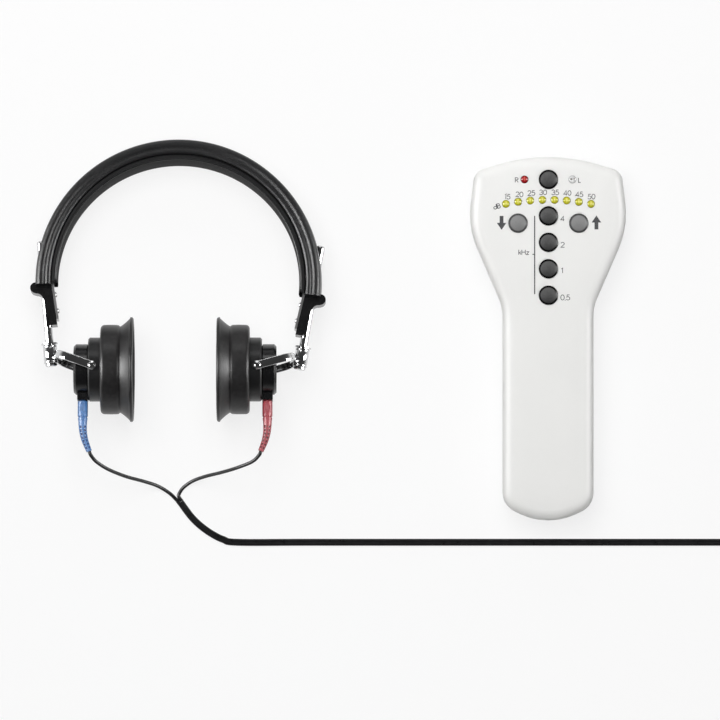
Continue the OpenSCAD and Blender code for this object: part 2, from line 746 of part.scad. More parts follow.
// Fork: a strip bent to a U round the earphone's back, closed on the sleeve
arm_z = body_r + 0.9 + fork_t / 2;
module fork(side) {
    bend = 9;
    back_x = fork_len - sleeve_r + 0.6;
    half_out = arm_z + fork_t / 2;
    half_in = arm_z - fork_t / 2;
    function u_line(half, x, r) = concat(
        [[0, -half]], sector([x - r, r - half], r, -90, 0, 8),
        sector([x - r, half - r], r, 0, 90, 8), [[0, half]]
    );
    outer = u_line(half_out, back_x, bend);
    inner = u_line(half_in, back_x - fork_t, bend - fork_t);
    color("silver") difference() {
        union() {
            on_fork(side) rotate([90, 0, 0]) translate([0, 0, -fork_h / 2])
                linear_extrude(fork_h) polygon(concat(outer, rev(inner)));
            // eyes at the ends of the arms, and the sleeve on the rod
            on_fork(side) for (s = [-1, 1]) translate([0, 0, s * arm_z - fork_t / 2])
                cylinder(h = fork_t, r = fork_h / 2 + 0.25);
            on_sleeve(side) rotate([90, 0, 0]) translate([0, 0, -sleeve_len / 2])
                cylinder(h = sleeve_len, r = sleeve_r);
        }
        on_sleeve(side) rotate([90, 0, 0]) translate([0, 0, -sleeve_len])
            cylinder(h = 2 * sleeve_len, r = rod_r + seat);
        on_fork(side) translate([0, 0, -2 * arm_z]) cylinder(h = 4 * arm_z, r = pin_r + 0.05);
    }
}
module fork_left() fork(LEFT);
module fork_right() fork(RIGHT);

pin_in = body_r - 3;
module fork_pins(side) {
    head = arm_z + fork_t / 2 + 0.05;
    color("gainsboro") on_fork(side) for (s = [0, 1]) mirror([0, 0, s]) rotate_extrude() polygon([
        [0, pin_in], [pin_r, pin_in], [pin_r, head],
        [2.2, head], [2.1, head + 0.6], [1.5, head + 1.1], [0, head + 1.3],
    ]);
}
module fork_pins_left() fork_pins(LEFT);
module fork_pins_right() fork_pins(RIGHT);

// Revolves a profile of [distance out of the head, radius] about the earphone's axis
module revolved(side, profile) on_earphone(side) rotate([0, 90, 0]) rotate_extrude($fn = 96)
    polygon([for (p = profile) [p[1], p[0]]]);

neck_x = 8 - face_in;
barrel_end = -4.8;
cavity_x = 10.3 - face_in;
capsule_r = 24.1;
cover_lip = 1.6;
module cushion(side) {
    lip = 2.2;
    dish_x = cavity_x - 1.2;
    dish_r = rim_r - 6.4;
    edge_x = -face_in + 1.7;
    back = 2.4;
    flare = rim_r - neck_r;
    color("#19191a") revolved(side, concat(
        // ear dish, from the hole out to the soft lip
        [[cavity_x, ear_hole_r], [dish_x, ear_hole_r]],
        [for (i = [1 : 7]) let (t = i / 7)
            [dish_x + (lip - face_in - cavity_x) * pow(t, 1.4), ear_hole_r + (dish_r - ear_hole_r) * t]],
        [[-face_in, dish_r + lip], [-face_in, rim_r - 1.8], [-face_in + 0.6, rim_r - 0.5], [edge_x, rim_r]],
        // hollow flank down to the neck
        [for (i = [1 : 6]) let (a = i * 15)
            [edge_x + (neck_x - edge_x) * sin(a), neck_r + flare * (0.55 * (1 - sin(a)) + 0.45 * cos(a))]],
        // barrel with rounded shoulders
        [[neck_x + 0.8, barrel_r - 0.3], [neck_x + 1.6, barrel_r]],
        [for (i = [0 : 5]) let (a = i * 18)
            [barrel_end - back * (1 - sin(a)), barrel_r - back * (1 - cos(a))]],
        // hole for the earphone's body and the pocket that holds its flange
        [[barrel_end, body_r + seat], [barrel_end - cover_lip, body_r + seat]],
        [[barrel_end - cover_lip, capsule_r + seat], [cavity_x, capsule_r + seat]]
    ));
}
module cushion_left() cushion(LEFT);
module cushion_right() cushion(RIGHT);

flange_back = barrel_end - cover_lip - seat;
pocket_r = 21.2;
pocket_x = flange_back - 2.2;
grille_t = 1;
module earphone_body(side) {
    front = cavity_x + seat;
    bevel = 0.9;
    color("#151516") difference() {
        revolved(side, [
            [pocket_x, 0], [pocket_x, pocket_r], [front, pocket_r], [front, capsule_r],
            [flange_back, capsule_r], [flange_back, body_r],
            [body_back - bevel, body_r], [body_back, body_r - bevel], [body_back, 0],
        ]);
        on_fork(side) for (s = [0, 1]) mirror([0, 0, s]) translate([0, 0, pin_in - 0.5])
            cylinder(h = 6, r = pin_r + 0.1);
    }
}
module earphone_body_left() earphone_body(LEFT);
module earphone_body_right() earphone_body(RIGHT);

plug_x = body_back + 3.4;
socket_low = 19.1;
module earphone_back(side) {
    from = body_back + 0.1;
    to = from + back_len;
    bevel = 1.4;
    dent = 0.8;
    nose = [6.6, 8, 10];
    color("#0f0f10") union() {
        revolved(side, [
            [from, 0], [from, back_r - 1.2], [from + 0.6, back_r], [to - bevel, back_r],
            [to, back_r - bevel], [to, 8.4], [to - dent, 8], [to - dent, 0],
        ]);
        // nose that takes the lead's plug
        on_earphone(side) translate([from, -socket_low, -nose[2] / 2]) cube(nose);
    }
}
module earphone_back_left() earphone_back(LEFT);
module earphone_back_right() earphone_back(RIGHT);

module driver(side) {
    magnet_r = 13;
    basket_r = pocket_r - 0.2;
    basket_x = pocket_x - 1.9;
    front = cavity_x + grille_t + seat;
    color("lightsteelblue") revolved(side, [
        [pocket_x - seat, 0], [pocket_x - seat, magnet_r], [basket_x, magnet_r],
        [basket_x, basket_r], [front, basket_r], [front, 0],
    ]);
}
module driver_left() driver(LEFT);
module driver_right() driver(RIGHT);

module ear_grille(side) {
    // Radius, first angle and count of each ring of holes
    holes = [[0, 0, 1], [3.4, 0, 6], [6.8, 15, 12]];
    hole_r = 0.8;
    front = cavity_x + seat;
    back = cavity_x + grille_t;
    color("#2a2a2b") difference() {
        revolved(side, [[front, 0], [front, pocket_r - seat], [back, pocket_r - seat], [back, 0]]);
        on_earphone(side) for (h = holes, i = [0 : h[2] - 1]) rotate([h[1] + i * 360 / h[2], 0, 0])
            translate([front - over, h[0], 0]) rotate([0, 90, 0])
                cylinder(h = grille_t + 2 * over, r = hole_r, $fn = 20);
    }
}
module ear_grille_left() ear_grille(LEFT);
module ear_grille_right() ear_grille(RIGHT);

// ---- Lead plugs and leads ----

plug_block = 11;
// The boot curves inward: how far in and how far below the earphone's socket its line runs
boot_bend = [[0, plug_block], [0, 15.5], [0.4, 20], [1.6, 25], [4, 31]];
boot_line = [for (b = boot_bend) [plug_x - b[0], -socket_low - b[1], 0]];
boot_end = boot_line[len(boot_line) - 1];
boot_dir = unit(boot_end - boot_line[len(boot_line) - 2]);
module lead_plug(side) {
    line = spline(boot_line, 6);
    last = len(line) - 1;
    // The boot tapers, with a groove after each second ring
    function boot_r(i) = 2.8 - 1.1 * i / last - (i % 3 == 1 && i > 3 && i < last - 1 ? 0.35 : 0);
    module boot() loft([for (i = [0 : last]) swept_ring(line, i, round_section(boot_r(i), 16), [0, 0, 1])]);
    tail_r = plug_r - 0.5;
    lead_hole = 4;
    color(side < 0 ? "royalblue" : "crimson") on_earphone(side) difference() {
        union() {
            translate([plug_x, -socket_low - 0.05, 0]) rotate([90, 0, 0]) rotate_extrude() polygon([
                [0, 0], [plug_r - 0.3, 0], [plug_r, 0.5], [plug_r, plug_block - 0.8],
                [tail_r, plug_block], [tail_r, plug_block + 1], [0, plug_block + 1],
            ]);
            boot();
        }
        translate(boot_end) rotate(atan2(boot_dir[1], boot_dir[0])) rotate([0, 90, 0])
            translate([0, 0, -lead_hole]) cylinder(h = lead_hole + over, r = lead_r + 0.2, $fn = 32);
    }
}
module lead_plug_left() lead_plug(LEFT);
module lead_plug_right() lead_plug(RIGHT);

// The routes' points, chosen by hand, on the centre lines
left_route = [
    [-280.2, -65.4, 38.2], [-279.3, -67.7, 38.5], [-278.2, -70.2, 38.6], [-275, -74, 37.6],
    [-268, -78.7, 32.5], [-257.5, -83.2, 22], [-247, -86.3, 11.5], [-238.5, -89.3, 4.6],
    [-231.5, -93.6, 1.5], [-227.3, -97.6, 1.1], [-225.5, -100, 1.1],
];
right_route = [
    [-174.1, -65.3, 38.2], [-175, -67.6, 38.5], [-176.1, -70.1, 38.6], [-180.4, -74.1, 36.8],
    [-190.1, -78, 29.5], [-199.7, -80.9, 20], [-209.4, -83.4, 10.5], [-217.1, -86.3, 4.2],
    [-222.8, -90.3, 1.5], [-225.5, -94.3, 1.1], [-225.5, -96.2, 1.1], [-223.7, -98.6, 1.1],
];
main_route = [
    [-224.6, -99.3, 1.1], [-218.4, -107.7, 1.1], [-212.6, -113.5, 1.1], [-205.5, -118.6, 1.1],
    [-198.4, -122.1, 1.1], [-190, -123.8, 1.1], [-150, -123.8, 1.1], [-100, -123.8, 1.1],
    [-50, -123.8, 1.1], [0, -123.8, 1.1], [50, -123.8, 1.1], [100, -123.8, 1.1], [146, -123.8, 1.1],
];
module lead_left() color("#111112") sweep(spline(left_route, 3), round_section(lead_r, 8));
module lead_right() color("#111112") sweep(spline(right_route, 3), round_section(lead_r, 8));
// The joined lead is flat: two leads side by side with a groove between them
lead_out = 0.95 * lead_r;
twin = [
    [lead_out + lead_r, 0], [lead_out, lead_r], [0, 0.6 * lead_r], [-lead_out, lead_r],
    [-lead_out - lead_r, 0], [-lead_out, -lead_r], [0, -0.6 * lead_r], [lead_out, -lead_r],
];
module main_lead() color("#111112") sweep(spline(main_route, 4), twin);

// The coil: it spirals in, climbs a layer in the half turn where it reverses, and spirals out
coil_turns = 9.25;
coil_mid = coil_turns / 2;
coil_in = coil_r - coil_pitch * coil_mid;
layer_h = 2 * lead_r + 0.7;
rings_a_turn = 24;
main_end = main_route[len(main_route) - 1];
function coil_radius(t) = coil_in + coil_pitch * abs(t - coil_mid);
function coil_height(t) = layer_h * min(max(2 * (t - coil_mid) + 0.5, 0), 1);
function coil_point(t) =
    main_end + [coil_radius(t) * sin(360 * t), coil_r - coil_radius(t) * cos(360 * t), coil_height(t)];
coil_points = [for (i = [0 : coil_turns * rings_a_turn]) coil_point(i / rings_a_turn)];
coil_tail = 30;
coil_end = coil_points[len(coil_points) - 1];
coil_line = concat(coil_points, [coil_end + [0, coil_tail / 2, 0], coil_end + [0, coil_tail, 0]]);
flat = [
    [lead_out + lead_r, 0], [lead_out + 0.1, lead_r], [-lead_out - 0.1, lead_r],
    [-lead_out - lead_r, 0], [-lead_out - 0.1, -lead_r], [lead_out + 0.1, -lead_r],
];
module lead_coil() color("#111112") sweep(coil_line, flat);
// Least gap of the coil to itself: flat sections with round edges, a half turn or more apart
function flat_gap(a, b) =
    norm([max(norm([a[0] - b[0], a[1] - b[1]]) - 2 * lead_out, 0), a[2] - b[2]]) - 2 * lead_r;
echo(least_gap_in_coil = min([
    for (i = [0 : len(coil_points) - 1], j = [i + rings_a_turn / 2 : 1 : len(coil_points) - 1])
        flat_gap(coil_points[i], coil_points[j])
]));

grip_r = 4;
grip_len = 27;
grip_at = [coil_end[0], coil_end[1] + coil_tail, grip_r];
module plug_grip() {
    color("#111112") translate(grip_at) rotate([-90, 0, 0]) rotate_extrude() polygon([
        [0, 0], [2.4, 0], [2.6, 8], [grip_r - 0.4, 9.5], [grip_r, 11], [grip_r, grip_len - 1],
        [grip_r - 0.4, grip_len], [0, grip_len],
    ]);
}
module headset_plug() {
    collar = 0.8;
    tip = 3.5;
    color("silver") translate(grip_at + [0, grip_len, 0]) rotate([-90, 0, 0]) rotate_extrude() polygon([
        [0, 0], [2.6, 0], [2.6, collar], [jack_r, collar], [jack_r, jack_len + collar],
        [jack_r - 0.6, jack_len + 1.3], [jack_r - 0.1, jack_len + 2.2],
        [0.4, jack_len + tip], [0, jack_len + tip],
    ]);
}

top_case();
bottom_case();
battery_door();
case_screws();
circuit_board();
board_screws();
board_chips();
battery();
battery_snap();
tact_switches();
ear_key();
key_4khz();
key_2khz();
key_1khz();
key_05khz();
level_down_key();
level_up_key();
level_lamps();
right_ear_lamp();
left_ear_lamp();
headphone_socket();
headband_cover();
headband_lining();
headband_spring();
band_rivets();
slider_block_left();
slider_block_right();
slider_rod_left();
slider_rod_right();
rod_washer_left();
rod_washer_right();
fork_left();
fork_right();
fork_pins_left();
fork_pins_right();
cushion_left();
cushion_right();
earphone_body_left();
earphone_body_right();
earphone_back_left();
earphone_back_right();
driver_left();
driver_right();
ear_grille_left();
ear_grille_right();
lead_plug_left();
lead_plug_right();
lead_left();
lead_right();
main_lead();
lead_coil();
plug_grip();
headset_plug();
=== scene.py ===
import math

import bmesh
import bpy
import numpy as np
from mathutils import Matrix, Vector, noise


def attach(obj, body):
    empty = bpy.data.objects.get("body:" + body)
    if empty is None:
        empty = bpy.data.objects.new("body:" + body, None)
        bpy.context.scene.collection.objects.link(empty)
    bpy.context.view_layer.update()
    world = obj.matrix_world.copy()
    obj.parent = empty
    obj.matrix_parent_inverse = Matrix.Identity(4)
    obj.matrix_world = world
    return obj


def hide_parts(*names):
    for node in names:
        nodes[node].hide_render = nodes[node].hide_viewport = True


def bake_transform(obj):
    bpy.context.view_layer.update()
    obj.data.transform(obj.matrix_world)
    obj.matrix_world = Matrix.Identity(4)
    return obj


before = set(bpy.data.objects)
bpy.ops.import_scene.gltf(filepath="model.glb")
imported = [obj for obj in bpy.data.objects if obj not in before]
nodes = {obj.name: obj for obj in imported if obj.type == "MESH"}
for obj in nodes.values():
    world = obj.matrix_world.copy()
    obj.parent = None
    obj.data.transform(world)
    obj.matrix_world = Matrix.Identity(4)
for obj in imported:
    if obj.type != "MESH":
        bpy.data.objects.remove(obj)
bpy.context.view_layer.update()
print("frame loaded,", len(nodes), "nodes")

mm = 0.001
weld = 0.002 * mm  # points nearer than this become one
left, right = -1, 1
sideName = {left: "left", right: "right"}
leadColour = {left: "blue", right: "red"}
scene = bpy.context.scene
scene.view_settings.view_transform = "Standard"


# Places on the headset, from the same sizes as the CAD part, in millimetres
headset = {
    "at": (-227, -18, 31.9),
    "bandUp": 53.3,
    "bandOff": 1.8,
    "bandRoll": 2.4,
    "bandRadius": 80.3,
    "bandHalf": 94,
    "bandWidth": 28,
    "coverThick": 9.2,
    "liningThick": 3.4,
    "lobe": 2.9,
    "endStep": 3.5,
    "rodDistance": 81.5,
    "reach": {left: 37, right: 32.7},
    "forkLength": 27.4,
    "forkDrop": 24.8,
}
coverIn = headset["bandRadius"] - 2.9
coverOut = coverIn + headset["coverThick"]
lobeZ = headset["bandWidth"] / 2 - headset["lobe"]
crownY = headset["bandUp"] + coverOut - headset["lobe"]
rise = headset["at"][2] - headset["lobe"]
tilt = math.degrees(math.asin(rise / math.hypot(crownY, lobeZ)) - math.atan2(lobeZ, crownY))
lean = headset["bandHalf"] - 90 + headset["endStep"]


def shift(x, y, z=0):
    return Matrix.Translation(Vector((x, y, z)) * mm)


def turn(degrees, axis):
    return Matrix.Rotation(math.radians(degrees), 4, axis)


def onSide(side):
    return Matrix.Diagonal((side, 1, 1, 1))


onHeadset = shift(*headset["at"]) @ turn(-tilt, "X")
onBand = onHeadset @ shift(headset["bandOff"], headset["bandUp"]) @ turn(-headset["bandRoll"], "Z")


def onRod(side):
    return onBand @ onSide(side) @ turn(-lean, "Z") @ shift(headset["rodDistance"], 0)


def onFork(side):
    sleeve = onRod(side) @ shift(0, -headset["reach"][side])
    return sleeve @ turn(headset["forkDrop"], "Z") @ shift(-headset["forkLength"], 0)


def onEarphone(side):
    return onFork(side) @ turn(lean + side * headset["bandRoll"] - headset["forkDrop"], "Z")


class Wire:
    # A node's output; sums and products of wires add their Math nodes
    def __init__(self, graph, socket):
        self.graph, self.socket = graph, socket

    def maths(self, operation, *others):
        values = dict(enumerate((self, *others)))
        return self.graph.add("ShaderNodeMath", {"operation": operation}, values)

    def flipped(self, operation, other):
        return self.graph.add("ShaderNodeMath", {"operation": operation}, {0: other, 1: self})

    def __add__(self, other):
        return self.maths("ADD", other)

    def __sub__(self, other):
        return self.maths("SUBTRACT", other)

    def __rsub__(self, other):
        return self.flipped("SUBTRACT", other)

    def __mul__(self, other):
        return self.maths("MULTIPLY", other)

    def __truediv__(self, other):
        return self.maths("DIVIDE", other)

    __radd__ = __add__
    __rmul__ = __mul__


class Graph:
    # A node tree with one way to add a node: its type, its settings, then its sockets
    def __init__(self, tree):
        self.tree = tree

    def add(self, kind, settings=None, sockets=None, out=0):
        made = self.tree.nodes.new(kind)
        for key, value in (settings or {}).items():
            if key == "stops":
                self.setStops(made.color_ramp, value)
            else:
                setattr(made, key, value)
        for key, value in (sockets or {}).items():
            if isinstance(value, Wire):
                self.tree.links.new(value.socket, made.inputs[key])
            elif value is not None:
                made.inputs[key].default_value = value
        return Wire(self, made.outputs[out]) if len(made.outputs) else made

    def setStops(self, ramp, stops):
        while len(ramp.elements) < len(stops):
            ramp.elements.new(0.5)
        for element, (place, colour) in zip(ramp.elements, stops):
            element.position = place
            element.color = grey(colour)


def grey(colour):
    # A number stands for a grey, and three numbers for a colour
    if isinstance(colour, (int, float)):
        colour = (colour,) * 3
    return (*colour, 1)


class Paint(Graph):
    def __init__(self, name):
        self.material = bpy.data.materials.new(name)
        self.material.use_nodes = True
        super().__init__(self.material.node_tree)
        self.tree.nodes.clear()

    def place(self, scale=1, centre=(0, 0, 0), squeeze=(1, 1, 1)):
        # Object coordinates in metres from centre, times scale
        where = self.add("ShaderNodeTexCoord", out=3)
        settings = {"vector_type": "POINT"}
        factors = [scale * s for s in squeeze]
        moved = [-c * f for c, f in zip(centre, factors)]
        return self.add("ShaderNodeMapping", settings, {0: where, 1: moved, 3: factors})

    def cloud(self, scale, detail=3, rough=0.5, squeeze=(1, 1, 1)):
        spot = self.place(squeeze=squeeze)
        return self.add("ShaderNodeTexNoise", None, {0: spot, 2: scale, 3: detail, 4: rough})

    def cells(self, scale, feature="F1"):
        return self.add("ShaderNodeTexVoronoi", {"feature": feature}, {0: self.place(), 2: scale})

    def ramp(self, factor, *stops):
        return self.add("ShaderNodeValToRGB", {"stops": stops}, {0: factor})

    def mix(self, factor, first, second):
        colours = [c if isinstance(c, Wire) else grey(c) for c in (first, second)]
        settings = {"data_type": "RGBA"}
        return self.add("ShaderNodeMix", settings, {0: factor, 6: colours[0], 7: colours[1]}, 2)

    def bump(self, height, strength, distance, normal=None):
        sockets = {"Height": height, "Strength": strength, "Distance": distance, "Normal": normal}
        return self.add("ShaderNodeBump", None, sockets)

    def finish(self, **values):
        names = {
            "colour": "Base Color",
            "roughness": "Roughness",
            "metal": "Metallic",
            "normal": "Normal",
            "coat": "Coat Weight",
            "coatRoughness": "Coat Roughness",
            "specular": "Specular IOR Level",
            "glow": "Emission Color",
            "glowStrength": "Emission Strength",
        }
        sockets = {names[k]: v for k, v in values.items()}
        for name in ("Base Color", "Emission Color"):
            if name in sockets and not isinstance(sockets[name], Wire):
                sockets[name] = grey(sockets[name])
        shader = self.add("ShaderNodeBsdfPrincipled", None, sockets)
        self.add("ShaderNodeOutputMaterial", None, {0: shader})
        return self.material


def casePlastic():
    # Warm white moulded plastic with a fine spark texture and faint handling marks
    p = Paint("casePlastic")
    spark = p.cloud(2600, 2, 0.6)
    tone = p.cloud(14, 3)
    smudge = p.cloud(45, 4, 0.6)
    colour = p.mix(p.ramp(tone, (0.35, 0), (0.7, 1)), (0.80, 0.80, 0.785), (0.83, 0.828, 0.812))
    rough = 0.42 + smudge * 0.12
    return p.finish(colour=colour, roughness=rough, specular=0.4, normal=p.bump(spark, 0.22, 0.00008))


def keyPlastic(name, centre, crown, middle, rim, radius):
    # A grained dome with painted light: a painted highlight towards its upper middle over a random mottle,
    # and painted shade in its darker glossy rim
    p = Paint(name)
    flat = p.place(1 / (radius * mm), centre, (1, 1, 0))
    out = p.add("ShaderNodeVectorMath", {"operation": "LENGTH"}, {0: flat}, 1)
    along = p.add("ShaderNodeSeparateXYZ", None, {0: flat}, 1)
    grain = p.cloud(2600, 2, 0.6)
    # Painted light: lighter towards the upper side, as if lit from above, plus a random mottle
    light = along * 0.45 + 0.42 + (p.cloud(900, 3) - 0.5) * 0.5
    top = p.mix(p.ramp(light, (0.0, 0), (1.0, 1)), middle, crown)
    # Painted shade: the rim is darker
    colour = p.mix(p.ramp(out, (0.78, 0), (0.86, 1)), top, rim)
    gloss = p.ramp(out, (0.80, 0.48), (0.88, 0.2))
    return p.finish(colour=colour, roughness=gloss, specular=0.3, normal=p.bump(grain, 0.3, 0.00007))


def lensPaint(name):
    # Lamp domes carry their own map: across and up, from -1 to 1
    p = Paint(name)
    across, up = (p.add("ShaderNodeAttribute", {"attribute_name": n}, None, 2) for n in ("across", "up"))
    return p, across, up


def blob(across, up, x, y, wide, high):
    # Falls from 1 in the middle of an oval to 0 at its edge
    dx, dy = (across - x) / wide, (up - y) / high
    return (1 - (dx * dx + dy * dy)).maths("MAXIMUM", 0.0)


def lensPlastic(name, core, body, rim, glow=0.0):
    # A tinted dome: a pale upright streak inside, partly the lead frame and partly a painted highlight, and
    # a darker rim of painted shade
    p, across, up = lensPaint(name)
    reach = (across * across + up * up).maths("SQRT")
    # Painted shade: the dome darkens towards its rim
    tint = p.ramp(reach, (0.0, body), (0.70, body), (0.98, rim))
    # The lead frame inside, with a painted highlight on it
    streak = blob(across, up, 0.02, 0.12, 0.34, 0.74) * 0.85
    colour = p.mix(streak, tint, core)
    return p.finish(colour=colour, roughness=0.16, specular=0.3, coat=0.3, coatRoughness=0.08,
                    glow=colour, glowStrength=glow)


def clearLens():
    # A water-clear lamp: its dark lead frames show through, it is paler towards its lower middle, and a grey
    # ring of painted shade lies near its edge
    p, across, up = lensPaint("clearLens")
    reach = (across * across + up * up).maths("SQRT")
    # Painted shade: a darker grey ring near the edge of the dome
    glass = p.ramp(reach, (0.0, 0.76), (0.78, 0.70), (0.92, 0.48), (1.0, 0.56))
    paleLowMiddle = p.mix(blob(across, up, 0, -0.38, 0.5, 0.5), glass, (0.93, 0.93, 0.92))
    frames = blob(across, up, -0.34, 0.06, 0.44, 0.22) + blob(across, up, 0.46, 0.10, 0.24, 0.34)
    colour = p.mix((frames * 1.5).maths("MINIMUM", 1.0), paleLowMiddle, (0.07, 0.055, 0.035))
    return p.finish(colour=colour, roughness=0.1, coat=0.4, coatRoughness=0.04)


def chrome():
    # Polished plating over slightly wavy metal, with fine wipe marks
    p = Paint("chrome")
    wave = p.cloud(80, 1)
    wipes = p.cloud(700, 3, 0.6, squeeze=(1, 0.12, 1))
    colour = p.mix(wave, (0.58, 0.585, 0.59), (0.70, 0.70, 0.705))
    rough = 0.06 + p.ramp(wipes, (0.45, 0), (0.8, 1)) * 0.10
    return p.finish(colour=colour, metal=1.0, roughness=rough, normal=p.bump(wave, 0.4, 0.0002))


def brushedSteel():
    p = Paint("brushedSteel")
    lines = p.cloud(1500, 4, 0.7, squeeze=(1, 0.04, 1))
    dull = p.cloud(160, 3)
    colour = p.mix(dull, (0.36, 0.36, 0.36), (0.52, 0.52, 0.525))
    rough = 0.26 + lines * 0.22
    return p.finish(colour=colour, metal=1.0, roughness=rough, normal=p.bump(lines, 0.15, 0.00005))


def leatherette():
    # Black grained leatherette: pebbles between fine creases, with painted shade in the creases, under a
    # satin top coat
    p = Paint("leatherette")
    wobble = p.cloud(900, 2)
    pebbles = p.cells(1150, "DISTANCE_TO_EDGE")
    creases = p.ramp(pebbles, (0.0, 0), (0.16, 1))
    sway = p.cloud(38, 3)
    grain = p.mix(sway, (0.0065, 0.0065, 0.0075), (0.012, 0.012, 0.013))
    # Painted shade: the creases between the pebbles are darker
    colour = p.mix(creases, (0.0025, 0.0025, 0.003), grain)
    rough = 0.27 + wobble * 0.10 + sway * 0.08
    fine = p.bump(creases, 0.35, 0.0001)
    return p.finish(colour=colour, roughness=rough, specular=0.5, normal=p.bump(sway, 0.25, 0.0012, fine))


def liningCloth():
    # Matte black foam lining with a fine knitted face
    p = Paint("liningCloth")
    knit = p.cells(1500)
    fuzz = p.cloud(500, 3, 0.6)
    colour = p.mix(fuzz, (0.0025, 0.0025, 0.003), (0.007, 0.007, 0.0075))
    rough = 0.7 + fuzz * 0.15
    return p.finish(colour=colour, roughness=rough, specular=0.2, normal=p.bump(knit, 0.5, 0.0002))


def cushionRubber():
    # Soft black rubber, slightly dusty, with flow marks from its mould
    p = Paint("cushionRubber")
    dust = p.cloud(420, 4, 0.65)
    flow = p.cloud(60, 3)
    pores = p.cloud(3000, 2)
    colour = p.mix(p.ramp(dust, (0.45, 0), (0.75, 1)), (0.0085, 0.008, 0.0083), (0.017, 0.016, 0.0165))
    rough = 0.30 + flow * 0.12 + dust * 0.08
    fine = p.bump(pores, 0.2, 0.00006)
    return p.finish(colour=colour, roughness=rough, specular=0.42, normal=p.bump(flow, 0.2, 0.0006, fine))


def blackPlastic(name, low, high, gloss):
    p = Paint(name)
    grain = p.cloud(2400, 3, 0.6)
    rub = p.cloud(130, 4, 0.6)
    colour = p.mix(rub, low, high)
    rough = gloss + rub * 0.14
    return p.finish(colour=colour, roughness=rough, specular=0.4, normal=p.bump(grain, 0.18, 0.00006))


def plugPlastic(name, low, high, slot):
    # Moulded soft plastic; its slots, marked by an attribute, get painted shade: a darker colour in the
    # recess
    p = Paint(name)
    tone = p.cloud(150, 3)
    grain = p.cloud(2200, 2)
    deep = p.add("ShaderNodeAttribute", {"attribute_name": "deep"}, None, 2)
    # Painted shade: the deep mark mixes in the darker slot colour
    colour = p.mix(deep, p.mix(tone, low, high), slot)
    rough = 0.30 + tone * 0.12
    return p.finish(colour=colour, roughness=rough, specular=0.45, normal=p.bump(grain, 0.15, 0.00006))


def cordRubber():
    p = Paint("cordRubber")
    scuff = p.cloud(300, 3, 0.6)
    ripple = p.cloud(1400, 2)
    colour = p.mix(scuff, (0.003, 0.003, 0.0035), (0.009, 0.009, 0.0095))
    rough = 0.22 + scuff * 0.16
    return p.finish(colour=colour, roughness=rough, specular=0.4, normal=p.bump(ripple, 0.15, 0.00008))


def printInk():
    p = Paint("printInk")
    wear = p.cloud(1800, 3, 0.7)
    colour = p.mix(p.ramp(wear, (0.35, 0), (0.8, 1)), (0.035, 0.035, 0.038), (0.065, 0.065, 0.068))
    return p.finish(colour=colour, roughness=0.5 + wear * 0.1)


def boardLacquer():
    # Green solder mask over the faint pattern of its copper
    p = Paint("boardLacquer")
    tracks = p.add("ShaderNodeTexBrick", None, {0: p.place(), "Scale": 260, "Mortar Size": 0.06}, 1)
    colour = p.mix(tracks, (0.020, 0.11, 0.045), (0.05, 0.20, 0.085))
    return p.finish(colour=colour, roughness=0.22, coat=0.4, normal=p.bump(tracks, 0.2, 0.00004))


def chipPlastic():
    p = Paint("chipPlastic")
    grain = p.cloud(1800, 3)
    return p.finish(colour=p.mix(grain, 0.012, 0.03), roughness=0.55 + grain * 0.15)


def batteryWrap():
    # Foil wrap: a dark lower part and a copper upper end
    p = Paint("batteryWrap")
    along = p.add("ShaderNodeSeparateXYZ", None, {0: p.place(centre=(0, -0.060, 0))}, 1)
    ends = p.ramp(along * 40, (0.48, 0), (0.52, 1))
    scuff = p.cloud(350, 4)
    colour = p.mix(ends, (0.02, 0.02, 0.022), (0.48, 0.26, 0.09))
    return p.finish(colour=colour, metal=0.6, roughness=0.28 + scuff * 0.2)


def driverMetal():
    p = Paint("driverMetal")
    rings = p.cloud(600, 2)
    return p.finish(colour=p.mix(rings, 0.42, 0.56), metal=1.0, roughness=0.34 + rings * 0.12)


finishes = {
    "case": casePlastic(),
    "chrome": chrome(),
    "steel": brushedSteel(),
    "leather": leatherette(),
    "lining": liningCloth(),
    "piping": blackPlastic("pipingVinyl", (0.004, 0.004, 0.0045), (0.010, 0.010, 0.0105), 0.26),
    "rubber": cushionRubber(),
    "gloss": blackPlastic("glossBlack", (0.003, 0.003, 0.0035), (0.008, 0.008, 0.0085), 0.16),
    "satin": blackPlastic("satinBlack", (0.004, 0.004, 0.0045), (0.011, 0.011, 0.0115), 0.30),
    # The third colour of each plug is the painted shade in its boot's slots
    "blue": plugPlastic("bluePlug", (0.060, 0.170, 0.43), (0.105, 0.245, 0.52), (0.006, 0.025, 0.13)),
    "red": plugPlastic("redPlug", (0.34, 0.042, 0.060), (0.47, 0.085, 0.10), (0.06, 0.002, 0.005)),
    "cord": cordRubber(),
    "ink": printInk(),
    "board": boardLacquer(),
    "chip": chipPlastic(),
    "battery": batteryWrap(),
    "driver": driverMetal(),
    "clear": clearLens(),
    "yellow": lensPlastic("yellowLens", (0.90, 0.80, 0.24), (0.50, 0.49, 0.020), (0.30, 0.28, 0.012), 0.06),
    "red lens": lensPlastic("redLens", (0.78, 0.15, 0.11), (0.32, 0.005, 0.010), (0.08, 0.002, 0.004), 0.03),
}
print("materials made:", len(finishes))


def sharpen(mesh, degrees):
    mesh.polygons.foreach_set("use_smooth", [True] * len(mesh.polygons))
    mesh.set_sharp_from_angle(angle=math.radians(degrees))


def pieceFromMesh(name, mesh, material, body):
    piece = bpy.data.objects.new(name, mesh)
    scene.collection.objects.link(piece)
    if material:
        mesh.materials.clear()
        mesh.materials.append(material)
    if body:
        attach(piece, body)
    return piece


def closeMesh(work, mesh):
    # Joins doubled points, turns the faces outwards and hands the shape to its mesh
    bmesh.ops.remove_doubles(work, verts=work.verts, dist=weld)
    bmesh.ops.recalc_face_normals(work, faces=work.faces)
    work.to_mesh(mesh)
    work.free()


